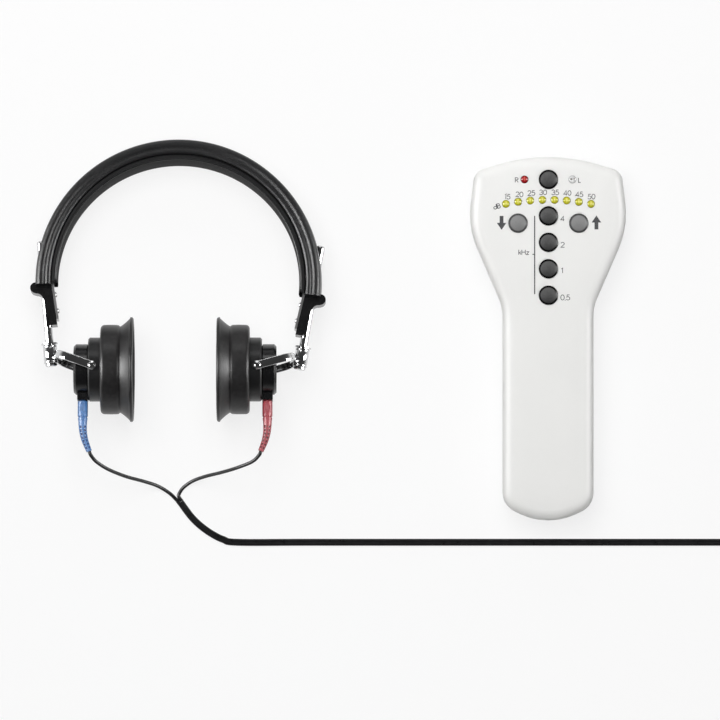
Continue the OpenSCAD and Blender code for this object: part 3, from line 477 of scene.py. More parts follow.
def makePiece(name, points, faces, place, material, body=None, slot=None, edge=40):
    # Points are in millimetres in the frame that place gives; faces are turned outwards
    mesh = bpy.data.meshes.new(name)
    mesh.from_pydata([Vector(p) * mm for p in points], [], faces)
    work = bmesh.new()
    work.from_mesh(mesh)
    bmesh.ops.transform(work, matrix=place, verts=work.verts)
    closeMesh(work, mesh)
    sharpen(mesh, edge)
    return pieceFromMesh(name, mesh, material, body)


def skin(rings, closed=False, capped=True):
    # Joins rings of points; closed joins the last ring to the first
    n, m = len(rings[0]), len(rings)
    points = [p for ring in rings for p in ring]
    faces = []
    for k in range(m if closed else m - 1):
        for i in range(n):
            j, l = (i + 1) % n, (k + 1) % m
            faces.append((k * n + i, k * n + j, l * n + j, l * n + i))
    if capped and not closed:
        faces.append(tuple(range(n))[::-1])
        faces.append(tuple(range((m - 1) * n, m * n)))
    return points, faces


def revolved(profile, steps=96):
    # Turns a closed profile of (distance along x, radius) about the x axis
    rings = []
    for k in range(steps):
        a = 2 * math.pi * k / steps
        rings.append([(x, r * math.cos(a), r * math.sin(a)) for x, r in profile])
    return skin(rings, closed=True)


def arc(centre, radius, start, end, steps):
    return [
        (
            centre[0] + radius * math.cos(math.radians(start + (end - start) * i / steps)),
            centre[1] + radius * math.sin(math.radians(start + (end - start) * i / steps)),
        )
        for i in range(steps + 1)
    ]


def smoothLine(points, steps):
    # The same curve as the CAD routes: it passes through each point
    p = [Vector(v) for v in points]
    last = len(p) - 1
    line = []
    for k in range(last):
        a, b, c, d = p[max(k - 1, 0)], p[k], p[k + 1], p[min(k + 2, last)]
        once, twice, thrice = c - a, 2 * a - 5 * b + 4 * c - d, 3 * b - a - 3 * c + d
        for i in range(steps):
            t = i / steps
            line.append(0.5 * (2 * b + once * t + twice * t * t + thrice * t**3))
    return line + [p[last]]


def sweep(line, section):
    # Rings of a section along a line; section x lies level and section y stands up
    rings = []
    for i, p in enumerate(line):
        ahead = line[min(i + 1, len(line) - 1)] - line[max(i - 1, 0)]
        ahead.normalize()
        across = Vector((0, 0, 1)).cross(ahead).normalized()
        up = ahead.cross(across)
        rings.append([p + across * x + up * y for x, y in section])
    return rings


def circle(radius, steps):
    return arc((0, 0), radius, 0, 360 - 360 / steps, steps - 1)


def newTree(name, inputs):
    # A geometry tree with named inputs: its graph, and a wire from each input
    tree = bpy.data.node_groups.new(name, "GeometryNodeTree")
    sockets = {"Geometry": "Geometry", **inputs}
    for label, kind in sockets.items():
        tree.interface.new_socket(label, in_out="INPUT", socket_type="NodeSocket" + kind)
    tree.interface.new_socket("Geometry", in_out="OUTPUT", socket_type="NodeSocketGeometry")
    g = Graph(tree)
    given = tree.nodes.new("NodeGroupInput")
    return g, [Wire(g, given.outputs[k]) for k in range(len(sockets))]


def softShadeTree():
    # Smooths a CAD node's loose triangles without touching its mesh
    g, (shape, limit) = newTree("softShade", {"Sharp above": "Float"})
    bare = g.add("GeometryNodeRemoveAttribute", None, {0: shape, "Name": "custom_normal"})
    merged = g.add("GeometryNodeMergeByDistance", None, {0: bare, "Distance": weld})
    smooth = g.add("GeometryNodeSetShadeSmooth", {"domain": "FACE"}, {0: merged, "Shade Smooth": True})
    angle = g.add("GeometryNodeInputMeshEdgeAngle")
    soft = g.add("FunctionNodeCompare", {"operation": "LESS_THAN"}, {0: angle, 1: limit})
    edges = g.add("GeometryNodeSetShadeSmooth", {"domain": "EDGE"}, {0: smooth, "Shade Smooth": soft})
    g.add("NodeGroupOutput", None, {0: edges})
    return g.tree


softShade = softShadeTree()


def treeValue(modifier, name, value):
    for item in modifier.node_group.interface.items_tree:
        if item.in_out == "INPUT" and item.name == name:
            modifier[item.identifier] = value


def dress(name, material, sharpAbove=38):
    # A CAD node keeps its shape and gets its finish
    node = nodes[name]
    if not node.data.materials:
        node.data.materials.append(material)
    for spot in node.material_slots:
        spot.material = material
    modifier = node.modifiers.new("soft shade", "NODES")
    modifier.node_group = softShade
    treeValue(modifier, "Sharp above", math.radians(sharpAbove))


picture = {
    "pixel": 0.61,  # millimetres a pixel at the middle height
    "centre": (-114.7, -12.2),
    "height": 20,
    "lens": 420,
    "sensor": 36,
    "pixelsAcross": 720,
}


def makeCamera(c):
    data = bpy.data.cameras.new("camera")
    data.lens = c["lens"]
    data.sensor_width = c["sensor"]
    away = c["pixelsAcross"] * c["pixel"] * c["lens"] / c["sensor"]
    camera = bpy.data.objects.new("camera", data)
    camera.location = Vector((*c["centre"], c["height"] + away)) * mm
    data.clip_start, data.clip_end = 0.01, 50
    scene.collection.objects.link(camera)
    scene.camera = camera


makeCamera(picture)

studio = {
    # How bright the room is, from straight down (0) over the horizon (0.5) to straight up (1)
    "room": [(0.0, 0.8), (0.49, 0.8), (0.55, 0.62), (0.68, 0.10), (1.0, 0.05)],
    "floorGlow": 0.80,
    "floorHalf": 4000,
    "floorHeight": -0.05,
    "lamps": [
        # name, place, aim, width, height, watts, whether it lights and whether it shows in gloss
        ("overhead", (-0.30, 0.40, 1.5), (-0.1, 0, 0), 1.1, 1.1, 24, True, False),
        ("leftCard", (-1.55, 0.10, 0.80), (-0.2, 0.05, 0.03), 0.7, 1.2, 52, False, True),
        ("rightCard", (1.35, 0.10, 0.80), (-0.1, 0.05, 0.03), 0.7, 1.2, 40, False, True),
        ("topCard", (-0.3, 1.5, 0.9), (-0.15, 0, 0.03), 0.9, 0.35, 3.5, True, True),
    ],
}


def makeStudio(s):
    world = bpy.data.worlds.new("studio")
    world.use_nodes = True
    scene.world = world
    g = Graph(world.node_tree)
    world.node_tree.nodes.clear()
    way = g.add("ShaderNodeTexCoord", out=0)
    up = g.add("ShaderNodeSeparateXYZ", None, {0: way}, 2)
    room = g.add("ShaderNodeValToRGB", {"stops": s["room"]}, {0: up * 0.5 + 0.5})
    g.add("ShaderNodeOutputWorld", None, {0: g.add("ShaderNodeBackground", None, {0: room, 1: 1.0})})

    wide, low = s["floorHalf"], s["floorHeight"]
    corners = [(-wide, -wide, low), (wide, -wide, low), (wide, wide, low), (-wide, wide, low)]
    floor = makePiece("floor", corners, [(0, 1, 2, 3)], Matrix(), None)
    p = Paint("floorWhite")
    rays = p.tree.nodes.new("ShaderNodeLightPath")
    kinds = [Wire(p, rays.outputs[k]) for k in ("Is Camera Ray", "Is Glossy Ray", "Is Transmission Ray")]
    shown = kinds[0] + kinds[1] + kinds[2]
    matte = p.add("ShaderNodeBsdfDiffuse", None, {0: grey(0.86)})
    glow = p.add("ShaderNodeEmission", None, {0: grey(1.0), 1: 1.0})
    amount = shown.maths("MINIMUM", 1.0) * s["floorGlow"]
    mixed = p.add("ShaderNodeMixShader", None, {0: amount, 1: matte, 2: glow})
    p.add("ShaderNodeOutputMaterial", None, {0: mixed})
    floor.data.materials.append(p.material)

    for name, place, aim, width, height, watts, lights, glossy in s["lamps"]:
        data = bpy.data.lights.new(name, "AREA")
        data.shape, data.size, data.size_y, data.energy = "RECTANGLE", width, height, watts
        lamp = bpy.data.objects.new(name, data)
        lamp.visible_camera, lamp.visible_diffuse, lamp.visible_glossy = False, lights, glossy
        lamp.location = place
        lamp.rotation_mode = "QUATERNION"
        lamp.rotation_quaternion = (Vector(aim) - Vector(place)).to_track_quat("-Z", "Y")
        scene.collection.objects.link(lamp)


makeStudio(studio)
print("camera and studio ready")


plug = {
    "at": (6, -19.1),
    "block": 11,
    "radius": 3.1,
    "flatAt": 4.7,
    "flatHalf": 3.9,
    "flatDeep": 0.5,
    "bend": [(0, 11), (0, 15.5), (0.4, 20), (1.6, 25), (4, 31)],
    "bootRadius": 2.78,
    "tail": 1.7,
    "around": 72,
    "firstSlot": 5.2,
    "slotPitch": 2.2,
    "slotLong": 1.15,
    "slotSoft": 0.12,
    "slotDeep": 0.28,
    "slots": 7,
    "slotRows": (54, 126, 234, 306),  # degrees about the boot
    "slotEdge": (15, 20),
}

# The routes are the CAD part's own points
cords = {
    "radius": 1.1,
    "shortest": 0.03,  # metres, the least length that a stretch is counted with; metres, the least that a cord is declared with
    "leftRoute": [
        (-280.2, -65.4, 38.2), (-279.3, -67.7, 38.5), (-278.2, -70.2, 38.6), (-275, -74, 37.6),
        (-268, -78.7, 32.5), (-257.5, -83.2, 22), (-247, -86.3, 11.5), (-238.5, -89.3, 4.6),
        (-231.5, -93.6, 1.5), (-227.3, -97.6, 1.1), (-225.5, -100, 1.1),
    ],
    "rightRoute": [
        (-174.1, -65.3, 38.2), (-175, -67.6, 38.5), (-176.1, -70.1, 38.6), (-180.4, -74.1, 36.8),
        (-190.1, -78, 29.5), (-199.7, -80.9, 20), (-209.4, -83.4, 10.5), (-217.1, -86.3, 4.2),
        (-222.8, -90.3, 1.5), (-225.5, -94.3, 1.1), (-225.5, -96.2, 1.1), (-223.7, -98.6, 1.1),
    ],
    "mainRoute": [
        (-224.6, -99.3, 1.1), (-218.4, -107.7, 1.1), (-212.6, -113.5, 1.1), (-205.5, -118.6, 1.1),
        (-198.4, -122.1, 1.1), (-190, -123.8, 1.1), (-150, -123.8, 1.1), (-100, -123.8, 1.1),
        (-50, -123.8, 1.1), (0, -123.8, 1.1), (50, -123.8, 1.1), (100, -123.8, 1.1), (146, -123.8, 1.1),
    ],
    "coilTurns": 9.25,
    "coilPitch": 4.9,
    "coilRadius": 35.8,
    "coilLayer": 2.9,
    "coilTail": 30,
    "ringsATurn": 40,
}


def lengthOf(line):
    return sum((b - a).length for a, b in zip(line, line[1:]))


def metres(line):
    return [tuple(p * mm) for p in line]


def splitLine(line, parts):
    # Cuts a line into parts of equal length that share their end points
    each = lengthOf(line) / parts
    stretches, run = [[line[0]]], 0
    for a, b in zip(line, line[1:]):
        step = (b - a).length
        while len(stretches) < parts and run + step > each * len(stretches):
            cut = a.lerp(b, (each * len(stretches) - run) / step)
            stretches[-1].append(cut)
            stretches.append([cut])
        stretches[-1].append(b)
        run += step
    return stretches


def branchLead(side, c):
    # Three stretches of equal length, each its own piece
    name = sideName[side]
    x0, y0 = plug["at"]
    bend = [onEarphone(side) @ (Vector((x0 - x, y0 - y, 0)) * mm) for x, y in plug["bend"]]
    line = smoothLine([p / mm for p in bend[2:4]] + c[name + "Route"], 8)
    bootEnd = bend[-1]
    bodies = ["earphone_" + name, "fork_body_" + name, "slider_" + name, "base"]
    for k, stretch in enumerate(splitLine(line, 3)):
        rings = sweep(stretch, circle(c["radius"], 16))
        piece = makePiece(f"lead_{name}_{k + 1}", *skin(rings), Matrix(), finishes["cord"], edge=60)
        start = stretch[0] * mm if k else bootEnd
        bodies[k + 1]
        stretch[-1] * mm
        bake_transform(piece)
        long = max(lengthOf(stretch) * mm, c["shortest"])
        metres(stretch)
    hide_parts("lead_" + name)


def twinSection(r):
    # Two leads side by side with a groove between them
    out = 0.95 * r
    upper = arc((out, 0), r, -90, 118, 13)
    lower = arc((-out, 0), r, 62, 270, 13)
    return upper + lower


def coilLine(c, start):
    middle = c["coilTurns"] / 2
    inner = c["coilRadius"] - c["coilPitch"] * middle
    line = []
    for i in range(int(c["coilTurns"] * c["ringsATurn"]) + 1):
        t = i / c["ringsATurn"]
        r = inner + c["coilPitch"] * abs(t - middle)
        h = c["coilLayer"] * min(max(2 * (t - middle) + 0.5, 0), 1)
        a = 2 * math.pi * t
        line.append(start + Vector((r * math.sin(a), c["coilRadius"] - r * math.cos(a), h)))
    end = line[-1]
    return line + [end + Vector((0, c["coilTail"] * k / 4, 0)) for k in range(1, 5)]


def mainLead(c):
    route = smoothLine(c["mainRoute"], 10)
    line = route + coilLine(c, route[-1])[1:]
    rings = sweep(line, twinSection(c["radius"]))
    piece = makePiece("main_cord", *skin(rings), Matrix(), finishes["cord"], "base", "cord", 50)
    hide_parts("main_lead", "lead_coil")
    line[0] * mm
    lengthOf(line) * mm
    metres(line)


for side in (left, right):
    branchLead(side, cords)
mainLead(cords)
dress("plug_grip", finishes["cord"])
dress("headset_plug", finishes["chrome"])
print("cords laid")


band = {
    "steps": 200,
    "coverRise": 0.7,
    "rollExtra": 0.35,
    "rollInset": 0.3,
    "seamOut": 3.9,
    "seamHeight": 11.6,
    "edgeHold": 0.3,
    "mostPuff": 0.8,
    "clothFrames": 14,
    "cloth": {
        "vertex_group_mass": "sewn",
        "use_pressure": True,
        "uniform_pressure_force": 3,
        "mass": 0.15,
        "tension_stiffness": 12,
        "compression_stiffness": 6,
        "bending_stiffness": 0.2,
        "quality": 4,
    },
    "channelHalf": 3.1,
    "channelOut": 25,
    "channelReach": (-9, 66),
}

foam = {
    "gap": 0.05,
    "inset": 0.8,
    "crown": 0.5,
    "stripHalf": 6.65,
    "stripDeep": 1.5,
    "stripFlare": 0.4,
    "slant": 1.3,
}


def frozen(thing):
    # The plain mesh that a thing's modifiers make
    return bpy.data.meshes.new_from_object(thing.evaluated_get(bpy.context.evaluated_depsgraph_get()))


def bandRings(profile, steps, half):
    # Turns a profile of (radius, height) about the band's centre
    rings = []
    for k in range(steps + 1):
        a = math.radians(90 - half + 2 * half * (k / steps))
        rings.append([(r * math.cos(a), r * math.sin(a), z) for r, z in profile])
    return rings


def crowned(level, rise, half):
    # A face that rises towards its middle, from half down to minus half
    heights = np.linspace(half, -half, 15)[1:-1]
    return [(level + rise * (1 - (z / half) ** 2), z) for z in heights]


def coverProfile():
    # Two rolls along each edge with the seam between them, and a crowned outer face
    lobe = headset["lobe"]
    small = (headset["coverThick"] - 2 * lobe) / 2 + band["rollExtra"]
    bigX, smallX = coverOut - lobe, coverIn + small
    smallZ = lobeZ + lobe - small - band["rollInset"]
    upper = arc((smallX, smallZ), small, 180, 46, 9) + arc((bigX, lobeZ), lobe, 128, 0, 12)
    inner = [(coverIn, z) for z in np.linspace(-smallZ, smallZ, 13)[1:-1]]
    lower = [(x, -z) for x, z in upper][::-1]
    return upper + crowned(coverOut, band["coverRise"], lobeZ) + lower + inner


def makeCover():
    rings = bandRings(coverProfile(), band["steps"], headset["bandHalf"])
    return makePiece("padded_cover", *skin(rings), onBand, finishes["leather"], edge=70)


def puff(piece, b):
    # Padding swells the cover between its sewn seams
    mesh = piece.data
    inverse = onBand.inverted()
    group = piece.vertex_groups.new(name=b["cloth"]["vertex_group_mass"])
    for i, p in enumerate([inverse @ v.co / mm for v in mesh.vertices]):
        r = math.hypot(p.x, p.y)
        sewn = abs(p.z) > b["seamHeight"] and abs(r - (coverIn + b["seamOut"])) < 0.5
        ends = abs(math.degrees(math.atan2(p.x, p.y))) > headset["bandHalf"] - 2
        if r < coverIn + 0.2 or ends or sewn:
            group.add([i], 1.0, "REPLACE")
        elif abs(p.z) > headset["bandWidth"] / 2 - 0.4:
            group.add([i], b["edgeHold"], "REPLACE")
    cloth = piece.modifiers.new("cloth", "CLOTH")
    for key, value in b["cloth"].items():
        setattr(cloth.settings, key, value)
    cloth.settings.effector_weights.gravity = 0
    for f in range(b["clothFrames"]):
        scene.frame_set(f + 1)
    done = piece.evaluated_get(bpy.context.evaluated_depsgraph_get())
    moved = [v.co.copy() for v in done.data.vertices]
    piece.modifiers.clear()
    scene.frame_set(1)
    most = b["mostPuff"] * mm
    for v, co in zip(mesh.vertices, moved):
        step = co - v.co
        if step.length > most:
            step *= most / step.length
        v.co += step
    piece.vertex_groups.clear()


def cutChannels(piece, b):
    # Open channels in which the rods' upper ends slide
    half = b["channelHalf"]
    wide = (-half, b["channelOut"])
    corners = [(x, y, z) for x in wide for y in b["channelReach"] for z in (-half, half)]
    faces = [(0, 1, 3, 2), (4, 6, 7, 5), (0, 4, 5, 1), (2, 3, 7, 6), (0, 2, 6, 4), (1, 5, 7, 3)]
    for side in (left, right):
        tool = makePiece("cutter", corners, faces, onRod(side), None)
        cut = piece.modifiers.new("channel", "BOOLEAN")
        cut.operation, cut.object, cut.solver = "DIFFERENCE", tool, "EXACT"
        mesh = frozen(piece)
        piece.modifiers.clear()
        piece.data = mesh
        bpy.data.objects.remove(tool)
    sharpen(piece.data, 55)


def makeLining(f):
    # Foam lining: soft edges, a crowned inner face, a groove for the spring and slanted ends
    out, thick = coverIn - f["gap"], headset["liningThick"]
    half, r = headset["bandWidth"] / 2 - f["inset"], thick / 2
    edge = arc((out - r, half - r), r, 0, 180, 12)
    face = crowned(out - thick, -f["crown"], half - r)
    low = [(x, -z) for x, z in edge][::-1]
    groove = [(out, f["stripHalf"] + f["stripFlare"]), (out - f["stripDeep"], f["stripHalf"])]
    back = [(x, -z) for x, z in groove] + groove[::-1]
    rings = bandRings(edge + face + low + back, band["steps"], headset["bandHalf"])
    for end, sign in ((0, 1), (-1, -1)):
        turned = math.radians(90 - sign * headset["bandHalf"])
        along = Vector((-math.sin(turned), math.cos(turned), 0)) * sign
        deep = [max(0, (out - math.hypot(x, y)) * f["slant"]) for x, y, z in rings[end]]
        rings[end] = [tuple(Vector(p) + along * d) for p, d in zip(rings[end], deep)]
    return makePiece("padded_lining", *skin(rings), onBand, finishes["lining"], edge=60)


def stitchTree():
    # Stitches at even steps along a line
    lengths = {"Step": "Float", "Stitch length": "Float", "Thread radius": "Float"}
    g, (line, step, long, radius, thread) = newTree("stitches", {**lengths, "Thread": "Material"})
    curve = g.add("GeometryNodeMeshToCurve", None, {0: line})
    points = g.tree.nodes.new("GeometryNodeCurveToPoints")
    points.mode = "LENGTH"
    g.tree.links.new(curve.socket, points.inputs[0])
    g.tree.links.new(step.socket, points.inputs["Length"])
    ball = g.add("GeometryNodeMeshUVSphere", None, {"Segments": 8, "Rings": 6, "Radius": 1.0})
    size = g.add("ShaderNodeCombineXYZ", None, {0: radius, 1: radius, 2: long * 0.5})
    shaped = g.add("GeometryNodeTransform", None, {0: ball, "Scale": size})
    copies = g.add("GeometryNodeInstanceOnPoints", None,
                   {0: Wire(g, points.outputs[0]), 2: shaped, 5: Wire(g, points.outputs["Rotation"])})
    real = g.add("GeometryNodeRealizeInstances", None, {0: copies})
    soft = g.add("GeometryNodeSetShadeSmooth", None, {0: real})
    painted = g.add("GeometryNodeSetMaterial", None, {0: soft, 2: thread})
    g.add("NodeGroupOutput", None, {0: painted})
    return g.tree


def growPiece(name, line, tree, values, body):
    # Runs a tree on a line of points, in metres, and keeps the result as a plain mesh
    mesh = bpy.data.meshes.new(name)
    mesh.from_pydata(line, [(i, i + 1) for i in range(len(line) - 1)], [])
    guide = bpy.data.objects.new(name + "_guide", mesh)
    scene.collection.objects.link(guide)
    modifier = guide.modifiers.new("grow", "NODES")
    modifier.node_group = tree
    for key, value in values.items():
        treeValue(modifier, key, value)
    grown = frozen(guide)
    bpy.data.objects.remove(guide)
    return pieceFromMesh(name, grown, None, body)


def bandLine(c, level, count):
    # Points round the band on its upper or lower side, in millimetres
    return [
        Vector((c["radius"] * math.cos(a), c["radius"] * math.sin(a), level * c["height"]))
        for a in np.radians(np.linspace(90 - c["half"], 90 + c["half"], count))
    ]


cover = makeCover()
puff(cover, band)
cutChannels(cover, band)
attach(cover, "base")
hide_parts("headband_cover")

lining = makeLining(foam)
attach(lining, "base")
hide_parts("headband_lining")

seam = {"radius": coverIn + 3.85, "height": 13.3, "half": 90}
thread = {
    "Step": 3.2 * mm,
    "Stitch length": 2.1 * mm,
    "Thread radius": 0.2 * mm,
    "Thread": finishes["satin"],
}
stitches = stitchTree()
for level, word in ((1, "upper"), (-1, "lower")):
    line = [tuple(onBand @ (p * mm)) for p in bandLine(seam, level, 240)]
    growPiece("cover_stitches_" + word, line, stitches, thread, "base")

# A round cord sewn along both inner edges of the lining
piping = {"radius": coverIn - 2.85, "height": 12.75, "half": 92, "thick": 0.62}
for level, word in ((1, "upper"), (-1, "lower")):
    tube = skin(sweep(bandLine(piping, level, 220), circle(piping["thick"], 12)))
    makePiece("lining_piping_" + word, *tube, onBand, finishes["piping"], "base", "leatherette", 60)

fork = {
    "arm": 21.2,
    "back": 22.9,
    "bend": 8.2,
    "thick": 1.6,
    "high": 4.8,
    "soft": 0.5,
    "crown": 0.14,
    "eye": 2.65,
    "eyeEdge": 0.3,
    "sleeve": 4.3,
    "sleeveHalf": 5.75,
    # The sleeve's end with its groove: in from the end, and down from the outside
    "sleeveEnd": [(0, 0.45), (0.45, 0), (1.2, 0), (1.35, 0.12), (1.6, 0.12), (1.75, 0)],
    "bore": 2.72,
}


def forkParts(f):
    # A sprung strip bent to a U, an eye at each end and the sleeve that turns on the rod
    a, b, r = f["arm"], f["back"], f["bend"]
    line = [(0, a), (5, a), (10, a)] + arc((b - r, a - r), r, 90, 0, 14)
    line += [(x, -z) for x, z in line][::-1]
    t, h, s = f["thick"] / 2, f["high"] / 2, f["soft"]
    quarter = arc((t - s, h - s), s, 0, 90, 5)
    side = [(t + f["crown"] * (1 - (v / (h - s)) ** 2), v) for v in np.linspace(0, h - s, 5)[:-1]]
    half = side + quarter
    outside = [(u, -v) for u, v in half[::-1][:-1]] + half
    section = outside + [(-u, v) for u, v in outside[::-1]]
    rings = []
    for i, (x, z) in enumerate(line):
        before, after = line[max(i - 1, 0)], line[min(i + 1, len(line) - 1)]
        ahead = Vector((after[0] - before[0], after[1] - before[1])).normalized()
        rings.append([(x - ahead.y * u, v, z + ahead.x * u) for u, v in section])
    parts = [(*skin(rings), Matrix())]
    low, high, e, cut = a - t, a + t, f["eye"], f["eyeEdge"]
    eye = [(low, 0), (low, e - cut), (low + cut, e), (high - cut, e), (high, e - cut), (high, 0)]
    for flip in (1, -1):
        parts.append((*revolved([(x * flip, q) for x, q in eye], 40), turn(-90, "Y")))
    tube = [(-f["sleeveHalf"], f["bore"])]
    tube += [(x - f["sleeveHalf"], f["sleeve"] - down) for x, down in f["sleeveEnd"]]
    tube += [(-x, y) for x, y in tube[::-1]]
    onSleeve = shift(headset["forkLength"], 0) @ turn(90 - headset["forkDrop"], "Z")
    parts.append((*revolved(tube, 72), onSleeve))
    return parts


def makeFork(side, f):
    name = sideName[side]
    points, faces = [], []
    for p, q, place in forkParts(f):
        faces += [tuple(i + len(points) for i in face) for face in q]
        points += [tuple(place @ (Vector(v) * mm) / mm) for v in p]
    piece = makePiece("bent_fork_" + name, points, faces, onFork(side), finishes["chrome"],
                      "fork_body_" + name, "chrome", 50)
    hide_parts("fork_" + name)


dress("headband_spring", finishes["steel"])
dress("band_rivets", finishes["steel"])
for side in (left, right):
    name = sideName[side]
    dress("slider_block_" + name, finishes["gloss"])
    for part in ("slider_rod_", "rod_washer_", "fork_pins_"):
        dress(part + name, finishes["chrome"])
    makeFork(side, fork)
print("headband made")


ear = {
    "face": -24.8,
    "rim": 31.9,
    "barrel": 27.2,
    "neck": 26.3,
    "neckX": -16.8,
    "barrelEnd": -4.8,
    "cavity": -14.5,
    "hole": 10.5,
    "capsule": 24.25,
    "body": 19.65,
    "lip": 1.6,
    "wobble": 0.07,
}


def cushionProfile(e):
    # From the ear's hole over the dish, the rim and the flare to the barrel and its back
    dishX, dishR = e["cavity"] - 1.2, e["rim"] - 6.4
    edgeX, flare = e["face"] + 1.7, e["rim"] - e["neck"]
    neckX, barrel = e["neckX"], e["barrel"]
    points = [(e["cavity"], e["hole"] + 0.6)]
    points += arc((e["cavity"] - 0.6, e["hole"] + 0.6), 0.6, 0, -180, 6)[1:]
    deep = e["face"] + 1 - dishX
    for i in range(1, 15):
        t = i / 14
        points.append((dishX + deep * t**1.4, e["hole"] + (dishR - e["hole"]) * t))
    points += arc((e["face"] + 1.9, dishR + 3.1), 1.9, 240, 180, 5)
    points += arc((e["face"] + 1.3, e["rim"] - 1.3), 1.3, 180, 60, 8)
    for i in range(1, 15):
        t = i / 14
        x = edgeX + (neckX - edgeX) * t
        points.append((x, e["neck"] + flare * (1 - t) * (0.94 - 0.22 * t)))
    points += [(neckX + 0.5, e["neck"] + 0.25), (neckX + 1.1, barrel - 0.15), (neckX + 2, barrel)]
    points += [(neckX + 5, barrel + 0.1), (neckX + 8, barrel + 0.05)]
    points += arc((e["barrelEnd"] - 2.4, barrel - 2.4), 2.4, 90, 0, 10)
    points += arc((e["barrelEnd"] - 0.5, e["body"] + 0.5), 0.5, 0, -90, 4)
    back = e["barrelEnd"] - e["lip"]
    return points + [(back, e["body"]), (back, e["capsule"]), (e["cavity"], e["capsule"])]


def makeCushion(side, e):
    name = sideName[side]
    points, faces = revolved(cushionProfile(e), 144)
    uneven = []
    for x, y, z in points:
        p = Vector((x, y, z))
        soft = max(0.0, min(1.0, (-x - 14) / 8))
        push = noise.noise(p * 0.09 + Vector((side * 7.3, 2.1, 0))) * e["wobble"] * (0.4 + 1.2 * soft)
        r = math.hypot(y, z)
        uneven.append((x + push * soft, y * (1 + push / r), z * (1 + push / r)))
    cushion = makePiece("rubber_cushion_" + name, uneven, faces, onEarphone(side), finishes["rubber"],
                        "earphone_" + name, "cushion_rubber", 50)
    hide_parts("cushion_" + name)


def smoothStep(low, high, x):
    t = min(max((x - low) / (high - low), 0), 1)
    return t * t * (3 - 2 * t)


def makePlug(side, c):
    # The block, with an oval thumb flat on its face and back
    name, colour = sideName[side], leadColour[side]
    r, long, deep = c["radius"], c["block"], c["flatDeep"]
    profile = [(0, 0), (0, r - 0.5), (0.15, r - 0.2), (0.5, r)]
    profile += [(0.5 + i * (long - 2) / 30, r) for i in range(1, 31)]
    profile += [(long - 1.2, r - 0.12), (long - 1.0, r - 0.5), (long - 0.6, r - 0.5), (long - 0.4, r - 0.15)]
    profile += [(long + 1.2, r - 0.28), (long + 1.4, 1.6), (long + 1.4, 0)]
    points, faces = revolved(profile, 64)
    flat = []
    for x, y, z in points:
        level = r - deep + deep * ((x - c["flatAt"]) / c["flatHalf"]) ** 2
        flat.append((x, y, max(-level, min(level, z)) if 0.6 < x < long - 1.3 else z))
    upright = onEarphone(side) @ shift(*c["at"]) @ turn(-90, "Z")
    block = makePiece("lead_plug_block_" + name, flat, faces, upright, finishes[colour],
                      "earphone_" + name, colour + "_plug", 50)
    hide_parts("lead_plug_" + name)


def makeBoot(side, c):
    # Tapered boot with four rows of slots between its rails
    name, colour = sideName[side], leadColour[side]
    x0, y0 = c["at"]
    line = smoothLine([(x0 - x, y0 - y, 0) for x, y in c["bend"]], 34)
    total, edge, soft = lengthOf(line), c["slotLong"] / 2, c["slotSoft"]
    up = Vector((0, 0, 1))
    rings, deep, run = [], [], 0
    for i, p in enumerate(line):
        run += (p - line[i - 1]).length if i else 0
        ahead = (line[min(i + 1, len(line) - 1)] - line[max(i - 1, 0)]).normalized()
        across = up.cross(ahead).normalized()
        radius = c["bootRadius"] + (c["tail"] - c["bootRadius"]) * run / total
        near = min(abs(run - c["firstSlot"] - k * c["slotPitch"]) for k in range(c["slots"]))
        along = 1 - smoothStep(edge - soft, edge + soft, near)
        ring = []
        for j in range(c["around"]):
            a = 360 * j / c["around"]
            off = min(abs((a - row + 180) % 360 - 180) for row in c["slotRows"])
            slot = along * (1 - smoothStep(*c["slotEdge"], off))
            d = radius * (1 - c["slotDeep"] * slot)
            ring.append(p + across * d * math.cos(math.radians(a)) + up * d * math.sin(math.radians(a)))
            # The slot mark is kept as the deep attribute, which paints shade into the slots
            deep.append(slot)
        rings.append(ring)
    points, faces = skin(rings)
    mesh = bpy.data.meshes.new("lead_boot_" + name)
    mesh.from_pydata([onEarphone(side) @ (p * mm) for p in points], [], faces)
    if side == left:
        mesh.flip_normals()
    marks = mesh.attributes.new("deep", "FLOAT", "POINT")
    marks.data.foreach_set("value", deep)
    sharpen(mesh, 60)
    pieceFromMesh("lead_boot_" + name, mesh, finishes[colour], "earphone_" + name)


for side in (left, right):
    name = sideName[side]
    makeCushion(side, ear)
    makePlug(side, plug)
    makeBoot(side, plug)
    dress("earphone_body_" + name, finishes["satin"])
    dress("earphone_back_" + name, finishes["gloss"])
    dress("driver_" + name, finishes["driver"])
    dress("ear_grille_" + name, finishes["satin"])
print("earphones made")


unit = {
    "length": 221.3,
    "low": -110,
    "face": 32,
    "keyRadius": 5.7,
    "keyPitch": 16.1,
    "topKeyDown": 35.8,
    "earDown": 13.6,
    "levelDown": 40.2,
    "levelX": 18.5,
    "lampRadius": 2.3,
    "lampDome": 1.0,
    "lampSink": 0.2,
    "collar": (26, 27),  # the height at which it starts and ends
    "collarWider": 0.5,
    "lampArc": 136,
    "lampPitch": 7.4,
    "lampDown": 26,
    "earLampX": 14.6,
    # How light a key is painted at its crown (painted highlight towards the top), in the middle, and at its
    # rim (painted shade)
    "blackKey": (0.105, 0.022, 0.003),
    "greyKey": (0.26, 0.185, 0.075),
}


def onFace(x, down, z=0):
    # A place on the unit's face, counted down from its top, in millimetres
    return Vector((x, unit["low"] + unit["length"] - down, z))


